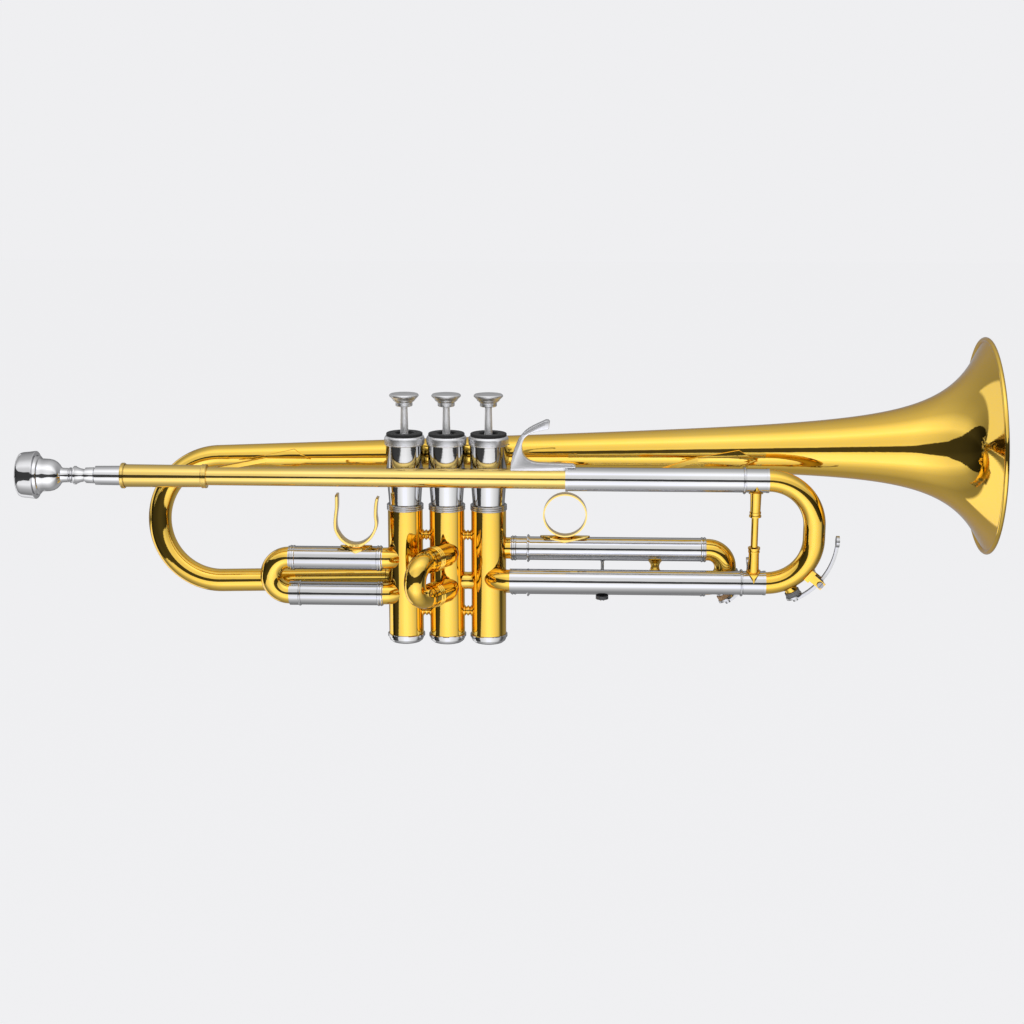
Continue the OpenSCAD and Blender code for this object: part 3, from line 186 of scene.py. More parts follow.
def new_finish(name):
    """A new material with its node tree and shader."""
    material = bpy.data.materials.new(name)
    material.use_nodes = True
    tree = material.node_tree
    return material, tree, tree.nodes["Principled BSDF"]


def add_bump(tree, shader, height, strength, distance):
    bump = add_node(tree, "ShaderNodeBump", (-300, -250))
    bump.inputs["Strength"].default_value = strength
    bump.inputs["Distance"].default_value = distance
    tree.links.new(height, bump.inputs["Height"])
    tree.links.new(bump.outputs["Normal"], shader.inputs["Normal"])


def polished_metal(name, light, deep, edge, shine, smeared, coat=0):
    """Polished metal: tone drifts from light to deep, smears dull it, hairlines break its highlights."""
    material, tree, shader = new_finish(name)
    marks = add_node(tree, "ShaderNodeGroup", (-900, 0), node_tree=handling)
    marks.inputs["Smear Scale"].default_value = 38
    marks.inputs["Hairline Scale"].default_value = 1600
    colour = blend_colour(tree, marks.outputs["Drift"], light, deep, (-500, 250))
    tree.links.new(colour, shader.inputs["Base Color"])
    dull = span(tree, marks.outputs["Smear"], 0, 1, shine, smeared, (-500, 0))
    tree.links.new(dull, shader.inputs["Roughness"])
    add_bump(tree, shader, marks.outputs["Hairline"], 0.012, 0.0002)
    shader.inputs["Metallic"].default_value = 1
    shader.inputs["Specular Tint"].default_value = (*edge, 1)
    shader.inputs["Coat Weight"].default_value = coat
    shader.inputs["Coat Roughness"].default_value = 0.03
    shader.inputs["Coat IOR"].default_value = 1.6
    return material


def soft_matter(name, light, deep, scale, rough, depth, sheen=0):
    """Felt, cork or rubber: speckled colour and a grainy face."""
    material, tree, shader = new_finish(name)
    place = add_node(tree, "ShaderNodeTexCoord", (-1100, 0))
    grain = noise(tree, place.outputs["Object"], scale, 6, (-700, 0))
    fleck = span(tree, grain, 0.35, 0.65, 0, 1, (-500, 0))
    colour = blend_colour(tree, fleck, deep, light, (-300, 200))
    tree.links.new(colour, shader.inputs["Base Color"])
    dull = span(tree, grain, 0.3, 0.7, rough - 0.1, rough, (-300, 0))
    tree.links.new(dull, shader.inputs["Roughness"])
    add_bump(tree, shader, grain, depth, 0.0004)
    shader.inputs["Sheen Weight"].default_value = sheen
    return material


brass = polished_metal(
    "lacquered_brass_polish", light=(0.94, 0.61, 0.075), deep=(0.9, 0.55, 0.045),
    edge=(0.66, 0.5, 0.3), shine=0.025, smeared=0.07, coat=0.8)
pale_brass = polished_metal(
    "pale_brass_polish", light=(0.95, 0.69, 0.19), deep=(0.9, 0.62, 0.14),
    edge=(0.66, 0.55, 0.38), shine=0.025, smeared=0.07, coat=0.8)
nickel = polished_metal(
    "nickel_silver_polish", light=(0.72, 0.72, 0.725), deep=(0.645, 0.645, 0.655),
    edge=(0.42, 0.42, 0.43), shine=0.03, smeared=0.08)
# Painted shade: a darker copy of the nickel silver, for the first slide's tubes, so that they read
# duller than the other nickel
shaded_nickel = polished_metal(
    "nickel_polish_painted_shade", light=(0.6, 0.6, 0.605), deep=(0.53, 0.53, 0.54),
    edge=(0.38, 0.38, 0.39), shine=0.03, smeared=0.08)
satin_nickel = polished_metal(
    "satin_nickel", light=(0.66, 0.66, 0.665), deep=(0.57, 0.57, 0.58),
    edge=(0.5, 0.5, 0.5), shine=0.2, smeared=0.3)
satin_plate = polished_metal(
    "satin_silver_plate", light=(0.9, 0.9, 0.91), deep=(0.83, 0.83, 0.85),
    edge=(0.6, 0.6, 0.61), shine=0.32, smeared=0.42)
# Painted light: a paler, rougher copy of the bright plate, so that the valve stems read lighter than the
# plate's own tone
lit_stem_plate = polished_metal(
    "stem_plate_painted_light", light=(0.98, 0.98, 0.985), deep=(0.94, 0.94, 0.95),
    edge=(0.85, 0.85, 0.86), shine=0.55, smeared=0.62)
plate = polished_metal(
    "bright_silver_plate", light=(0.86, 0.86, 0.87), deep=(0.79, 0.79, 0.81),
    edge=(0.5, 0.5, 0.51), shine=0.025, smeared=0.07)
steel = polished_metal(
    "grey_steel", light=(0.42, 0.42, 0.43), deep=(0.32, 0.32, 0.33),
    edge=(0.4, 0.4, 0.4), shine=0.14, smeared=0.28)
dark_steel = polished_metal(
    "darkened_steel", light=(0.16, 0.16, 0.165), deep=(0.1, 0.1, 0.105),
    edge=(0.3, 0.3, 0.3), shine=0.25, smeared=0.4)
felt = soft_matter(
    "pressed_black_felt", light=(0.022, 0.022, 0.023), deep=(0.008, 0.008, 0.008),
    scale=2600, rough=0.95, depth=0.6, sheen=0.04)
pad = soft_matter(
    "grey_rubber_pad", light=(0.2, 0.2, 0.205), deep=(0.13, 0.13, 0.135),
    scale=1500, rough=0.75, depth=0.2)
cork = soft_matter(
    "tan_cork", light=(0.6, 0.38, 0.19), deep=(0.36, 0.21, 0.1),
    scale=900, rough=0.85, depth=0.5)

finish_of_slot = {
    "lacquered_brass": brass,
    "nickel_silver": nickel,
    "bright_plate": plate,
    "black_felt": felt,
    "plain_steel": steel,
    "cork_rubber": pad,
}
finish_of_node = {
    "third_key_cork": cork,
    "lyre_nut": dark_steel,
    "leadpipe": pale_brass,
    "mouthpiece_receiver": pale_brass,
    "finger_ring": pale_brass,
    # The first slide's tubes take the darker copy of the nickel silver (painted shade)
    "first_outer_tube": shaded_nickel,
    "first_lower_sleeve": shaded_nickel,
    "first_inner_leg": shaded_nickel,
}
# The valve stems take the lit copy of the plate (painted light); the buttons take the satin plate
for number in ("1", "2", "3"):
    finish_of_node["valve_stem_" + number] = lit_stem_plate
    finish_of_node["finger_button_" + number] = satin_plate
for subpart in frame["record"]["subparts"]:
    node_name = subpart["node"]
    finish = finish_of_node.get(node_name, finish_of_slot[subpart["material_slot"]])
    nodes[node_name].data.materials.clear()
    nodes[node_name].data.materials.append(finish)


# Modelling helpers


def arc(start, stop, step):
    """Sines and cosines of a row of angles, given in degrees."""
    turns = [math.radians(a) for a in range(start, stop, step)]
    return [(math.sin(turn), math.cos(turn)) for turn in turns]


def drawn_line(name, points):
    """New piece, left in edit mode, that is one line drawn through the points."""
    bpy.ops.object.select_all(action="DESELECT")
    bpy.ops.mesh.primitive_plane_add(size=MM, location=points[0])
    piece = bpy.context.object
    piece.name = name
    bpy.ops.object.transform_apply(location=True, rotation=True, scale=True)
    bpy.ops.object.mode_set(mode="EDIT")
    bpy.ops.mesh.select_all(action="SELECT")
    bpy.ops.mesh.merge(type="CENTER")
    for here, there in zip(points, points[1:]):
        bpy.ops.mesh.extrude_region_move(TRANSFORM_OT_translate={"value": there - here})
    bpy.ops.mesh.select_all(action="SELECT")
    return piece


def turned(name, outline, start, along, out, steps):
    """Round piece turned from an outline of (distance along the axis, radius) in millimetres."""
    piece = drawn_line(name, [(start + along * d + out * r) * MM for d, r in outline])
    bpy.ops.mesh.spin(steps=steps, angle=FULL_TURN, center=start * MM, axis=along)
    bpy.ops.mesh.select_all(action="SELECT")
    bpy.ops.mesh.remove_doubles(threshold=2e-6)
    bpy.ops.mesh.normals_make_consistent(inside=False)
    bpy.ops.object.mode_set(mode="OBJECT")
    bpy.ops.object.shade_smooth_by_angle(angle=TURNED_SMOOTH)
    return piece


def joined(pieces):
    """Several pieces made one, under the first one's name."""
    bpy.ops.object.select_all(action="DESELECT")
    for piece in pieces:
        piece.select_set(True)
    bpy.context.view_layer.objects.active = pieces[0]
    bpy.ops.object.join()
    return pieces[0]


def round_edges(piece, width, sharp, segments):
    """Rounds over the edges that bend by more than sharp degrees."""
    rounding = piece.modifiers.new("rounding", "BEVEL")
    rounding.limit_method = "ANGLE"
    rounding.angle_limit = math.radians(sharp)
    rounding.width = width * MM
    rounding.segments = segments
    bpy.ops.object.modifier_apply(modifier="rounding")
    bpy.ops.object.shade_smooth_by_angle(angle=BENT_SMOOTH)


def finish_piece(piece, material, body, slot, *replaced):
    """Gives a piece its finish, its body and the nodes that it stands for."""
    piece.data.materials.clear()
    piece.data.materials.append(material)
    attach(piece, body)
    if replaced:
        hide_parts(*replaced)
    return piece


# Bell


def bell_flare(d):
    """How far the flare stands out from the plain taper at a distance back from the rim."""
    return (BELL_EDGE - BELL_THROAT) * (FLARE_DEPTH / (d + FLARE_DEPTH)) ** FLARE_POWER


BELL_TAPER = (BELL_THROAT + bell_flare(BELL_LENGTH) - BELL_STEM) / BELL_LENGTH


def bell_point(d, inset):
    """Point of the bell's wall at a distance back from the rim, set in from its outer face."""
    slope = BELL_TAPER + bell_flare(d) * FLARE_POWER / (d + FLARE_DEPTH)
    lean = math.sqrt(1 + slope * slope)
    radius = BELL_THROAT - BELL_TAPER * d + bell_flare(d)
    return (BELL_LENGTH - d + inset * slope / lean, radius - inset / lean)


def make_bell():
    """The spun bell: one smooth wall from the bow to the rim, with the rim rolled over a wire."""
    count = 110
    outer_end = 0.5
    inner_end = 0.3
    stations = [BELL_LENGTH * (1 - k / count) ** 2 for k in range(count)]
    outer = [bell_point(d, 0) for d in stations if d > outer_end]
    inner = [bell_point(d, BELL_WALL) for d in reversed(stations) if d > inner_end]
    roll = [
        (BELL_LENGTH + RIM_BEAD * cosine, BELL_EDGE + RIM_BEAD * sine)
        for sine, cosine in arc(200, -121, -16)]
    outline = outer + roll + inner + [outer[0]]
    along = Vector((math.cos(BELL_RISE), 0, math.sin(BELL_RISE)))
    out = Vector((-math.sin(BELL_RISE), 0, math.cos(BELL_RISE)))
    bell = turned("bell_spun", outline, BELL_START, along, out, steps=144)
    finish_piece(bell, brass, "body", "lacquered_brass", "bell_flare", "bell_stem")


# Rings turned on the tubes, as distances along the tube and out from its skin

RING_FOOT = -0.2


def on_foot(face):
    """Outline of a ring with this face, its foot sunk into the tube."""
    start = (face[0][0], RING_FOOT)
    return [start] + face + [(face[-1][0], RING_FOOT), start]


def ring_row(count):
    """Outline of a row of fine rings on a thin band."""
    pitch = 1.5
    width = 1.3
    height = 0.4
    skin = 0.03
    face = [(0, skin)]
    for k in range(count):
        middle = (k + 0.5) * pitch
        face += [
            (middle - width / 2, skin), (middle - width / 4, height),
            (middle + width / 4, height), (middle + width / 2, skin)]
    return on_foot(face + [(count * pitch, skin)])


def round_bead(width, height):
    """Outline of one rounded bead."""
    return on_foot([(width / 2 * (1 - cosine), height * sine) for sine, cosine in arc(0, 181, 20)])


def make_sleeve_rings():
    """Rings, lips and flanges on the tubes that run along X."""
    pair = ring_row(2)
    bead = round_bead(1.3, 0.6)
    lip = on_foot([(0, 0.25), (0.45, 0.95), (0.95, 0.95), (1.4, 0.25)])
    flange = on_foot([(0, 0.9), (0.25, 1.2), (0.75, 1.2), (1, 0.9)])
    collar = on_foot([(0, 0.3), (0.45, 0.8), (1.75, 0.8), (2.2, 0.3)])
    # Name, start along X, axis, radius of the tube, outline and body
    nickel_rings = [
        ("third_collar_rings_upper", 36.3, THIRD_UPPER_AT, SLEEVE, pair, "body"),
        ("third_collar_rings_lower", 36.3, THIRD_LOWER_AT, SLEEVE, pair, "body"),
        ("third_mouth_flange_upper", 45.4, THIRD_UPPER_AT, SLEEVE, flange, "third_slide"),
        ("third_mouth_flange_lower", 45.4, THIRD_LOWER_AT, SLEEVE, flange, "third_slide"),
        ("upper_sleeve_lip", 164.8, LEADPIPE_AT, SLEEVE, lip, "body"),
        ("lower_sleeve_lip", 164.8, LOWER_SLEEVE_AT, SLEEVE, lip, "body"),
        ("third_end_rings_upper", 143.3, THIRD_UPPER_AT, SLEEVE, pair, "third_slide"),
        ("third_end_rings_lower", 143.3, THIRD_LOWER_AT, SLEEVE, pair, "third_slide"),
        ("first_outer_rings", -88.6, FIRST_UPPER_AT, SLEEVE, pair, "first_slide"),
        ("first_mouth_rings", -39.4, FIRST_UPPER_AT, FERRULE, pair, "first_slide"),
        ("first_sleeve_bead", -83.9, FIRST_LOWER_AT, SLEEVE, bead, "body"),
        ("first_sleeve_rings", -39.2, FIRST_LOWER_AT, SLEEVE, pair, "body"),
    ]
    brass_rings = [
        ("receiver_collar", -180.4, LEADPIPE_AT, 6.4, collar, "body"),
        ("receiver_rings", -135.4, LEADPIPE_AT, 6.35, pair, "body"),
    ]
    for rings, material, slot in (
            (nickel_rings, nickel, "nickel_silver"), (brass_rings, pale_brass, "lacquered_brass")):
        for name, x, at, tube, outline, body in rings:
            around = [(d, tube + lift) for d, lift in outline]
            ring = turned(name, around, Vector((x, *at)), ALONG_X, UP, steps=72)
            finish_piece(ring, material, body, slot)


def make_second_rings():
    """Three rings on each of the second slide's sockets."""
    first_ring = 8
    outline = [(d, SLEEVE + lift) for d, lift in ring_row(3)]
    for name, rise in (("second_rings_upper", SECOND_RISE), ("second_rings_lower", -SECOND_RISE)):
        start = SECOND_START + SECOND_WAY * first_ring + UP * rise
        rings = turned(name, outline, start, SECOND_WAY, UP, steps=72)
        finish_piece(rings, brass, "body", "lacquered_brass")


# Turned pieces between and on the valves


def make_mouthpiece():
    """Mouthpiece with a flared rim, a round bowl and a beaded stem."""
    rim = [
        (0, 10.2), (0.2, 11.1), (0.7, 11.9), (1.6, 12.4), (3, 12.7), (6, 12.95), (8.6, 13.3),
        (9.6, 13.4), (9.9, 13.2), (10, 11.1), (10.5, 10.85), (11.6, 10.8), (11.9, 10.5), (12.05, 9.7)]
    bowl = [
        (12.9, 9.35), (13.6, 9.2), (15, 9.15), (17.5, 9), (19.5, 8.5), (21.3, 7.5), (22.6, 6.2),
        (23.4, 5), (24, 4.3), (25, 4.05), (27.9, 4)]
    stem = [
        (28.3, 3.7), (28.6, 4.3), (29.2, 4.4), (29.5, 3.8), (30, 3.8), (30.5, 4.6), (31.2, 5.2),
        (32, 5.2), (32.6, 4.7), (34.5, 3.9), (36.5, 3.5), (37.2, 3.6), (37.5, 4.3), (42, 4.5),
        (42.4, 4.25), (42.9, 4.6), (43.2, 5.3), (57.6, 5.45), (83.6, 4.8)]
    bore = [(83.6, 4.1), (20.5, 1.85), (15, 1.85)]
    cup_start = 2
    cup_depth = 11.5
    cup_radius = 8.3
    cup = [(cup_start + cup_depth * sine, cup_radius * cosine) for sine, cosine in arc(75, -1, -15)]
    lip = [(1, 8.5), (0.4, 8.9), (0.05, 9.5), (0, 10.2)]
    outline = rim + bowl + stem + bore + cup + lip
    start = Vector((MOUTHPIECE_X, *LEADPIPE_AT))
    mouthpiece = turned("mouthpiece_turned", outline, start, ALONG_X, UP, steps=96)
    finish_piece(mouthpiece, plate, "mouthpiece_body", "bright_plate", "mouthpiece")


def cut_casing(tubes, x):
    """Cuts the room of one valve casing out of the crossover tubes."""
    length = 60
    middle = 40
    bpy.ops.object.select_all(action="DESELECT")
    bpy.ops.mesh.primitive_cylinder_add(
        vertices=128, radius=CASING_SEAT * MM, depth=length * MM, location=(x * MM, 0, middle * MM))
    casing = bpy.context.object
    bpy.context.view_layer.objects.active = tubes
    seat = tubes.modifiers.new("seat", "BOOLEAN")
    seat.operation = "DIFFERENCE"
    seat.solver = "EXACT"
    seat.object = casing
    bpy.ops.object.modifier_apply(modifier="seat")
    bpy.data.objects.remove(casing)


def make_crossovers():
    """Waisted tubes between the valves, their ends cut to sit on the round casings."""
    wall = 0.5
    half_length = 4.4
    waist = CROSSOVER - 0.3
    flare = 0.9
    count = 8
    outer = [
        (half_length * k / count, waist + flare * (k / count) ** 2) for k in range(-count, count + 1)]
    outline = outer + [(d, r - wall) for d, r in reversed(outer)] + [outer[0]]
    rear = Vector((-VALVE_PITCH / 2, 0, REAR_CROSSOVER_Z))
    front = Vector((VALVE_PITCH / 2, 0, FRONT_CROSSOVER_Z))
    tubes = joined([
        turned("crossover_rear", outline, rear, ALONG_X, UP, steps=64),
        turned("crossover_front", outline, front, ALONG_X, UP, steps=64)])
    for x in VALVE_X:
        cut_casing(tubes, x)
    tubes.select_set(True)
    bpy.ops.object.shade_smooth_by_angle(angle=TURNED_SMOOTH)
    finish_piece(tubes, brass, "body", "lacquered_brass", "crossover_tubes")


def make_spools():
    """Waisted spools between the casings."""
    half = [
        (0, 2.95), (0.3, 2.9), (0.6, 2.55), (0.8, 2.2), (1.1, 2.25), (1.6, 2.9), (2.0, 3.35),
        (2.8, 3.5), (2.8, 0)]
    outline = [(-d, r) for d, r in reversed(half)] + half
    spools = joined([
        turned("casing_spools_turned", outline, Vector((x, 0, z)), ALONG_X, UP, steps=48)
        for x in (-VALVE_PITCH / 2, VALVE_PITCH / 2) for z in SPOOL_HEIGHTS])
    finish_piece(spools, brass, "body", "lacquered_brass", "casing_spools")


def turned_on_valves(name, outline, height):
    """One outline turned on each of the three valves."""
    return joined([
        turned(name, outline, Vector((x, 0, height)), UP, ALONG_X, steps=96) for x in VALVE_X])


def make_balusters():
    """Upper casings: three beads at the foot, a narrow waist and a long flare up to the cap."""
    bead = 0.55
    bead_middle = 9.85
    beads_top = 6 * bead
    waist = 9.0
    waist_edge = waist + 0.1
    waist_at = 3.4
    flare_rise = 31.4
    flare_out = 1.5
    height = 37.2
    outline = [(0, VALVE_BORE)]
    for k in (1, 3, 5):
        outline += [
            (bead * (k + sine), bead_middle + bead * cosine) for sine, cosine in arc(-90, 90, 30)]
    outline += [(beads_top, bead_middle), (beads_top, waist_edge)]
    outline += [
        (waist_at + flare_rise * a / 90, waist + flare_out * math.sin(math.radians(a)))
        for a in range(0, 91, 6)]
    outline += [(height, waist + flare_out), (height, VALVE_BORE), (0, VALVE_BORE)]
    balusters = turned_on_valves("balusters_turned", outline, CASING_TOP)
    finish_piece(balusters, nickel, "body", "nickel_silver", "valve_balusters")


def make_top_caps():
    """Caps with a rounded shoulder, a fine groove above the skirt and a hub inside the felt."""
    outline = [
        (0, 10.8), (0.3, 11.15), (0.6, 11.2), (0.75, 11.0), (0.95, 11.0), (1.1, 11.25), (3.3, 11.3),
        (4.0, 11.2), (4.6, 10.95), (5.0, 10.55), (5.2, 10.25), (5.2, 5.2), (5.3, 5.2), (5.3, 3.4),
        (1.5, 3.4), (1.5, 7.1), (-2.8, 7.1), (-2.8, 8.1), (0, 8.1), (0, 10.8)]
    caps = turned_on_valves("top_caps_turned", outline, CAP_FOOT)
    finish_piece(caps, satin_plate, "body", "bright_plate", "top_caps")


make_bell()
make_sleeve_rings()
make_second_rings()
make_mouthpiece()
make_crossovers()
make_spools()
make_balusters()
make_top_caps()


# Copies of nodes with rounded edges, a turned knob or coils


def merged_copy(name, node):
    """The node's own shape as a new piece, its split corners merged."""
    bpy.ops.object.select_all(action="DESELECT")
    piece = bpy.data.objects.new(name, nodes[node].data.copy())
    bpy.context.collection.objects.link(piece)
    bpy.context.view_layer.objects.active = piece
    piece.select_set(True)
    bpy.ops.mesh.customdata_custom_splitnormals_clear()
    bpy.ops.object.mode_set(mode="EDIT")
    bpy.ops.mesh.select_all(action="SELECT")
    bpy.ops.mesh.remove_doubles(threshold=1e-6)
    bpy.ops.object.mode_set(mode="OBJECT")
    return piece


def rounded_copy(name, node, width, material, body, slot):
    """The node's own shape with its hard edges rounded over."""
    piece = merged_copy(name, node)
    bpy.ops.object.mode_set(mode="EDIT")
    bpy.ops.mesh.select_all(action="SELECT")
    bpy.ops.mesh.dissolve_limited(angle_limit=math.radians(2))
    bpy.ops.object.mode_set(mode="OBJECT")
    round_edges(piece, width, sharp=50, segments=3)
    return finish_piece(piece, material, body, slot, node)


def make_rounded_copies():
    rounded_copy("finger_hook_rounded", "finger_hook", 0.45, satin_plate, "body", "nickel_silver")
    for key in ("tuning", "third"):
        lever = key + "_key_lever"
        rounded_copy(lever + "_rounded", lever, 0.35, satin_nickel, key + "_water_key", "nickel_silver")
    rounded_copy(
        "tuning_saddle_rounded", "tuning_key_saddle", 0.3, brass, "tuning_slide", "lacquered_brass")
    rounded_copy("rear_brace_rounded", "rear_bell_brace", 0.3, brass, "body", "lacquered_brass")
    rounded_copy("front_brace_rounded", "front_bell_brace", 0.3, brass, "body", "lacquered_brass")


def make_springs():
    """Valve springs, each a copy of its node's coil with a mesh of its own."""
    for number, x in zip(("1", "2", "3"), VALVE_X):
        node = "valve_spring_" + number
        spring = merged_copy(node + "_coil", node)
        bpy.ops.object.shade_smooth_by_angle(angle=BENT_SMOOTH)
        finish_piece(spring, steel, "body", "plain_steel", node)
        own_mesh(spring)


def make_second_slide():
    """The second slide, its plain ball cut off for a ringed pull knob a little higher on the bow."""
    bow_at = 18.4
    past_bow = 1
    tube = 6.15
    above_tube = 0.01
    knob_turn = math.radians(25)
    side = Vector((-SECOND_WAY.y, SECOND_WAY.x, 0))
    slide = merged_copy("second_slide_knobbed", "second_slide")
    bpy.ops.object.mode_set(mode="EDIT")
    bpy.ops.mesh.select_all(action="DESELECT")
    bpy.ops.object.mode_set(mode="OBJECT")
    for vertex in slide.data.vertices:
        vertex.select = (vertex.co / MM - SECOND_START).dot(SECOND_WAY) > bow_at + past_bow
    bpy.ops.object.mode_set(mode="EDIT")
    bpy.ops.mesh.bisect(
        plane_co=(SECOND_START + side * (tube + above_tube)) * MM, plane_no=side, use_fill=True,
        clear_outer=True)
    bpy.ops.object.mode_set(mode="OBJECT")
    bpy.ops.object.shade_smooth_by_angle(angle=TURNED_SMOOTH)
    foot = SECOND_START + SECOND_WAY * (bow_at + SECOND_RISE * math.cos(knob_turn))
    foot = foot - UP * (SECOND_RISE * math.sin(knob_turn))
    outline = [
        (-0.6, 0), (-0.6, 1.1), (1.5, 0.95), (1.7, 1.9), (2.0, 2.3), (3.3, 2.3), (3.7, 2.0), (3.7, 1.6),
        (3.3, 1.45), (3.3, 1.2), (3.7, 1.05), (3.8, 0.6), (3.5, 0.45), (3.5, 0)]
    knob = turned("pull_knob", outline, foot + side * tube, side, UP, steps=48)
    finish_piece(
        joined([slide, knob]), brass, "second_slide_body", "lacquered_brass", "second_slide")


make_rounded_copies()
make_springs()
make_second_slide()


# Thumb saddle

# Middle of the saddle's strip, as places along X and Z
SADDLE_BEND = [
    (-61.3, 87.0), (-61.4, 80.0), (-62.0, 75.3), (-62.4, 70.5), (-61.8, 66.2), (-59.0, 61.6),
    (-55.2, 58.8), (-51.2, 58.0), (-47.0, 59.0), (-43.0, 62.0), (-40.3, 66.2), (-39.2, 70.5),
    (-39.6, 75.3), (-39.4, 80.0), (-38.9, 83.6), (-38.4, 85.2)]


def curve_place(t, a, b, c, d):
    """Place at a share t of the way from b to c, on a curve that comes from a and goes on to d."""
    slope = (c - a) * t
    bend = (2 * a - 5 * b + 4 * c - d) * t * t
    sway = (3 * b - a - 3 * c + d) * t ** 3
    return 0.5 * (2 * b + slope + bend + sway)


def eased(points, parts):
    """Smooth curve through the points, with each stretch in a number of parts."""
    ends = [points[0]] + points + [points[-1]]
    smooth = []
    for four in zip(ends, ends[1:], ends[2:], ends[3:]):
        for k in range(parts):
            smooth.append(tuple(curve_place(k / parts, *places) for places in zip(*four)))
    return smooth + [points[-1]]


def make_saddle_foot():
    """Pointed foot of the thumb saddle: the node without its strip."""
    strip_start = 58.2
    rounded_copy("saddle_foot", "thumb_saddle", 0.2, pale_brass, "first_slide", "lacquered_brass")
    bpy.ops.object.mode_set(mode="EDIT")
    bpy.ops.mesh.select_all(action="SELECT")
    bpy.ops.mesh.bisect(
        plane_co=(0, 0, strip_start * MM), plane_no=(0, 0, 1), use_fill=True, clear_outer=True)
    bpy.ops.object.mode_set(mode="OBJECT")


def make_saddle_strip():
    """Bent strip of the thumb saddle."""
    width = 8
    thickness = 1.5
    edge = FIRST_UPPER_AT[0] - width / 2
    strip = drawn_line(
        "thumb_saddle_strip", [Vector((x, edge, z)) * MM for x, z in eased(SADDLE_BEND, 4)])
    bpy.ops.mesh.extrude_region_move(TRANSFORM_OT_translate={"value": (0, width * MM, 0)})
    bpy.ops.mesh.select_all(action="SELECT")
    bpy.ops.mesh.normals_make_consistent(inside=False)
    bpy.ops.object.mode_set(mode="OBJECT")
    body = strip.modifiers.new("body", "SOLIDIFY")
    body.thickness = thickness * MM
    body.offset = 0
    bpy.ops.object.modifier_apply(modifier="body")
    round_edges(strip, 0.55, sharp=60, segments=4)
    finish_piece(strip, pale_brass, "first_slide", "lacquered_brass")


make_saddle_foot()
make_saddle_strip()


# Camera, floor and light, in metres

PALE = (0.863, 0.863, 0.879, 1)
FLOOR_SHADE = (0.8, 0.8, 0.81, 1)
FLOOR_DROP = -0.3
SET_MIDDLE = (0.03, 0, 0.08)


def look_at(thing, place, target):
    thing.location = place
    thing.rotation_mode = "QUATERNION"
    thing.rotation_quaternion = (target - place).to_track_quat("-Z", "Y")


def make_camera():
    """Camera at the angle that the instrument is seen from."""
    azimuth = math.radians(2.3)
    elevation = math.radians(12.25)
    distance = 1.1
    target = Vector((36.775, 0, 76.0)) * MM
    back = Vector((
        math.sin(azimuth) * math.cos(elevation),
        -math.cos(azimuth) * math.cos(elevation),
        math.sin(elevation)))
    bpy.ops.object.camera_add()
    camera = bpy.context.object
    camera.name = "studio_camera"
    look_at(camera, target + back * distance, target)
    camera.data.lens = 68.55
    camera.data.sensor_width = 36
    camera.data.clip_start = 0.05
    camera.data.clip_end = 50
    bpy.context.scene.camera = camera


def pale_seen(tree, place):
    """One for rays from the camera, from a mirror or through glass, and otherwise nought."""
    x, y = place
    rays = add_node(tree, "ShaderNodeLightPath", place).outputs
    direct = reckon(tree, "MAXIMUM", rays["Is Camera Ray"], rays["Is Glossy Ray"], (x + 200, y))
    return reckon(tree, "MAXIMUM", direct, rays["Is Transmission Ray"], (x + 400, y))


def make_world():
    """Pale surroundings, a little dimmer as a light than they look."""
    lit = 0.7
    seen = 1.0
    world = bpy.data.worlds.new("pale_studio")
    bpy.context.scene.world = world
    world.use_nodes = True
    tree = world.node_tree
    ground = tree.nodes["Background"]
    ground.inputs["Color"].default_value = PALE
    strength = span(tree, pale_seen(tree, (-900, 0)), 0, 1, lit, seen, (-200, -100))
    tree.links.new(strength, ground.inputs["Strength"])


def new_stage_tree(name):
    """A new material for the stage, with an empty surface."""
    material = bpy.data.materials.new(name)
    material.use_nodes = True
    tree = material.node_tree
    tree.nodes.remove(tree.nodes["Principled BSDF"])
    return material, tree, tree.nodes["Material Output"].inputs["Surface"]


def make_floor():
    """Pale floor that keeps a trace of the object's shadow."""
    size = 9
    further_back = 1.5
    pale_share = 0.93
    pale_strength = 1.025
    bpy.ops.object.select_all(action="DESELECT")
    bpy.ops.mesh.primitive_grid_add(
        x_subdivisions=8, y_subdivisions=8, size=size, location=(0, further_back, FLOOR_DROP))
    floor = bpy.context.object
    floor.name = "pale_floor"
    bpy.ops.object.transform_apply(location=True)
    material, tree, surface = new_stage_tree("pale_sweep")
    matt = add_node(tree, "ShaderNodeBsdfDiffuse", (-200, -200))
    matt.inputs["Color"].default_value = FLOOR_SHADE
    glow = add_node(tree, "ShaderNodeEmission", (-200, 0))
    glow.inputs["Color"].default_value = PALE
    glow.inputs["Strength"].default_value = pale_strength
    share = span(tree, pale_seen(tree, (-1000, 200)), 0, 1, 0, pale_share, (-300, 200))
    mix = add_node(tree, "ShaderNodeMixShader", (100, 0))
    tree.links.new(share, mix.inputs[0])
    tree.links.new(matt.outputs[0], mix.inputs[1])
    tree.links.new(glow.outputs[0], mix.inputs[2])
    tree.links.new(mix.outputs[0], surface)
    floor.data.materials.append(material)
    floor.visible_glossy = False


def make_softbox(name, place, width, height, power):
    """Broad lamp that points at the middle of the set."""
    bpy.ops.object.light_add(type="AREA")
    lamp = bpy.context.object
    lamp.name = name
    lamp.data.shape = "RECTANGLE"
    lamp.data.size = width
    lamp.data.size_y = height
    lamp.data.energy = power
    lamp.visible_glossy = False
    look_at(lamp, Vector(place), Vector(SET_MIDDLE))


TENT_RADIUS = 1.2
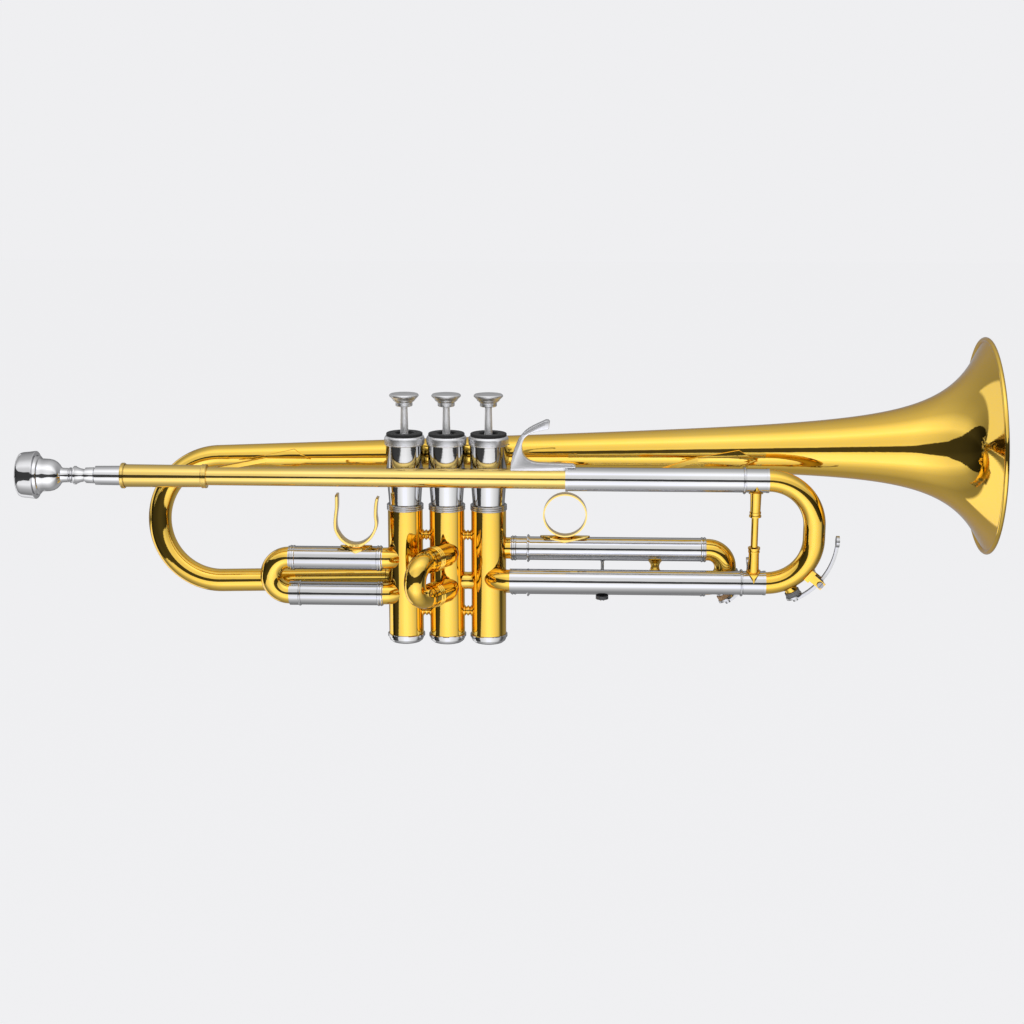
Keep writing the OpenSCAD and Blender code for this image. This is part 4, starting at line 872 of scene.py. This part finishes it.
# Light of the tent by the turn about X, in degrees from straight ahead, up over the top
TENT_ROUND = [
    (-180, 0.42), (-150, 0.48), (-115, 0.4), (-98, 0.38), (-86, 0.5), (-65, 0.68), (-50, 1.0),
    (-36, 1.45), (-12, 1.35), (2, 1.0), (18, 1.0), (32, 0.95), (46, 1.05), (60, 1.45), (75, 1.25),
    (95, 0.72), (120, 0.55), (150, 0.45), (180, 0.42)]
ROUND_TOP = 1.5
# How that light falls off from the middle to the left and the right side
TENT_SIDES = [
    (-1, 0.25), (-0.93, 0.5), (-0.8, 0.66), (-0.6, 0.72), (-0.4, 0.85), (-0.15, 1.0), (0.2, 1.0),
    (0.45, 0.88), (0.63, 0.76), (0.8, 0.64), (0.915, 0.48), (0.955, 0.3), (0.98, 0.1), (1, 0.08)]
SIDES_TOP = 1
# Half the height of the dark gap at eye level, in degrees, from the left side to the right
TENT_GAP = [
    (-1, 130), (-0.94, 110), (-0.9, 78), (-0.86, 53), (-0.79, 36), (-0.68, 27), (-0.6, 20),
    (-0.45, 17), (-0.31, 14), (-0.2, 10.5), (-0.1, 9.5), (0, 9.5), (0.3, 10), (0.6, 13), (0.8, 21),
    (1, 33)]
GAP_TOP = 140
GAP_MIDDLE = 9
GAP_EDGE = 0.8
GAP_LIGHT = 0.07
# Bright cloths behind on the left: turn from and to, side from and to, light
CLOTHS = [(134, 174, -1.1, -0.56, 0.95), (-160, -113, -1.1, -0.42, 1.2)]
CLOTH_TURN_EDGE = 3
CLOTH_SIDE_EDGE = 0.02
# The brightest cloth is a little blue
PEAK_FROM = 1.28
PEAK_TO = 1.45
PLAIN_TINT = (1, 1, 1)
PEAK_TINT = (1, 1.02, 1.2)


def make_ramp(tree, value, stops, top, place):
    """Level read off a row of stops, none of them above top."""
    x, y = place
    low = stops[0][0]
    high = stops[-1][0]
    ramp = add_node(tree, "ShaderNodeValToRGB", place)
    row = ramp.color_ramp.elements
    while len(row) < len(stops):
        row.new(0.5)
    for stop, (at, level) in zip(row, stops):
        stop.position = (at - low) / (high - low)
        stop.color = (level / top, level / top, level / top, 1)
    tree.links.new(span(tree, value, low, high, 0, 1, (x - 200, y)), ramp.inputs["Fac"])
    return reckon(tree, "MULTIPLY", ramp.outputs["Color"], top, (x + 300, y))


def make_window(tree, value, low, high, soft, place):
    """One between low and high, nought outside, with soft edges."""
    x, y = place
    rise = span(tree, value, low - soft, low + soft, 0, 1, place)
    fall = span(tree, value, high - soft, high + soft, 1, 0, (x + 200, y))
    return reckon(tree, "MULTIPLY", rise, fall, (x + 400, y))


def tent_level(tree):
    """Light of the tent's cloth from place to place."""
    place = add_node(tree, "ShaderNodeTexCoord", (-1500, 0))
    way = add_node(tree, "ShaderNodeVectorMath", (-1300, 0), operation="NORMALIZE")
    tree.links.new(place.outputs["Object"], way.inputs[0])
    axes = add_node(tree, "ShaderNodeSeparateXYZ", (-1100, 0))
    tree.links.new(way.outputs[0], axes.inputs[0])
    side = axes.outputs["X"]
    ahead = reckon(tree, "MULTIPLY", axes.outputs["Y"], -1, (-900, -100))
    turn = reckon(tree, "ARCTAN2", axes.outputs["Z"], ahead, (-700, 0))
    degrees = reckon(tree, "DEGREES", turn, None, (-500, 0))
    round_light = make_ramp(tree, degrees, TENT_ROUND, ROUND_TOP, (-100, 0))
    side_light = make_ramp(tree, side, TENT_SIDES, SIDES_TOP, (-100, -300))
    gap = make_ramp(tree, side, TENT_GAP, GAP_TOP, (-100, -600))
    off_middle = reckon(tree, "SUBTRACT", degrees, GAP_MIDDLE, (-100, -900))
    off = reckon(tree, "ABSOLUTE", off_middle, None, (100, -900))
    outside = reckon(tree, "SUBTRACT", off, gap, (400, -800))
    cloth = span(tree, outside, -GAP_EDGE, GAP_EDGE, GAP_LIGHT, 1, (600, -800))
    light = reckon(tree, "MULTIPLY", round_light, side_light, (500, -100))
    level = reckon(tree, "MULTIPLY", light, cloth, (800, -200))
    for k, (turn_from, turn_to, side_from, side_to, bright) in enumerate(CLOTHS):
        y = -1200 - 300 * k
        round_mask = make_window(tree, degrees, turn_from, turn_to, CLOTH_TURN_EDGE, (200, y))
        side_mask = make_window(tree, side, side_from, side_to, CLOTH_SIDE_EDGE, (200, y - 150))
        mask = reckon(tree, "MULTIPLY", round_mask, side_mask, (800, y))
        shine = reckon(tree, "MULTIPLY", mask, bright, (1000, y))
        level = reckon(tree, "MAXIMUM", level, shine, (1200, y))
    return level


def make_tent():
    """Light tent that the polished metal mirrors: bright above and below, a dark gap, dim sides."""
    bpy.ops.object.select_all(action="DESELECT")
    bpy.ops.mesh.primitive_uv_sphere_add(segments=160, ring_count=80, radius=TENT_RADIUS)
    tent = bpy.context.object
    tent.name = "light_tent"
    tent.visible_camera = False
    tent.visible_diffuse = False
    tent.visible_shadow = False
    tent.visible_transmission = False
    material, tree, surface = new_stage_tree("tent_cloth")
    level = tent_level(tree)
    peak = span(tree, level, PEAK_FROM, PEAK_TO, 0, 1, (1300, -300))
    tint = blend_colour(tree, peak, PLAIN_TINT, PEAK_TINT, (1500, -300))
    glow = add_node(tree, "ShaderNodeEmission", (1700, 0))
    tree.links.new(tint, glow.inputs["Color"])
    tree.links.new(level, glow.inputs["Strength"])
    tree.links.new(glow.outputs[0], surface)
    tent.data.materials.append(material)


make_camera()
make_world()
make_floor()
make_tent()
make_softbox("front_softbox", (0.03, -1.3, 1.3), width=2.2, height=0.7, power=9)
make_softbox("top_softbox", (0.03, 0.3, 1.6), width=2.0, height=0.8, power=6)

bpy.context.scene.view_settings.view_transform = "Standard"
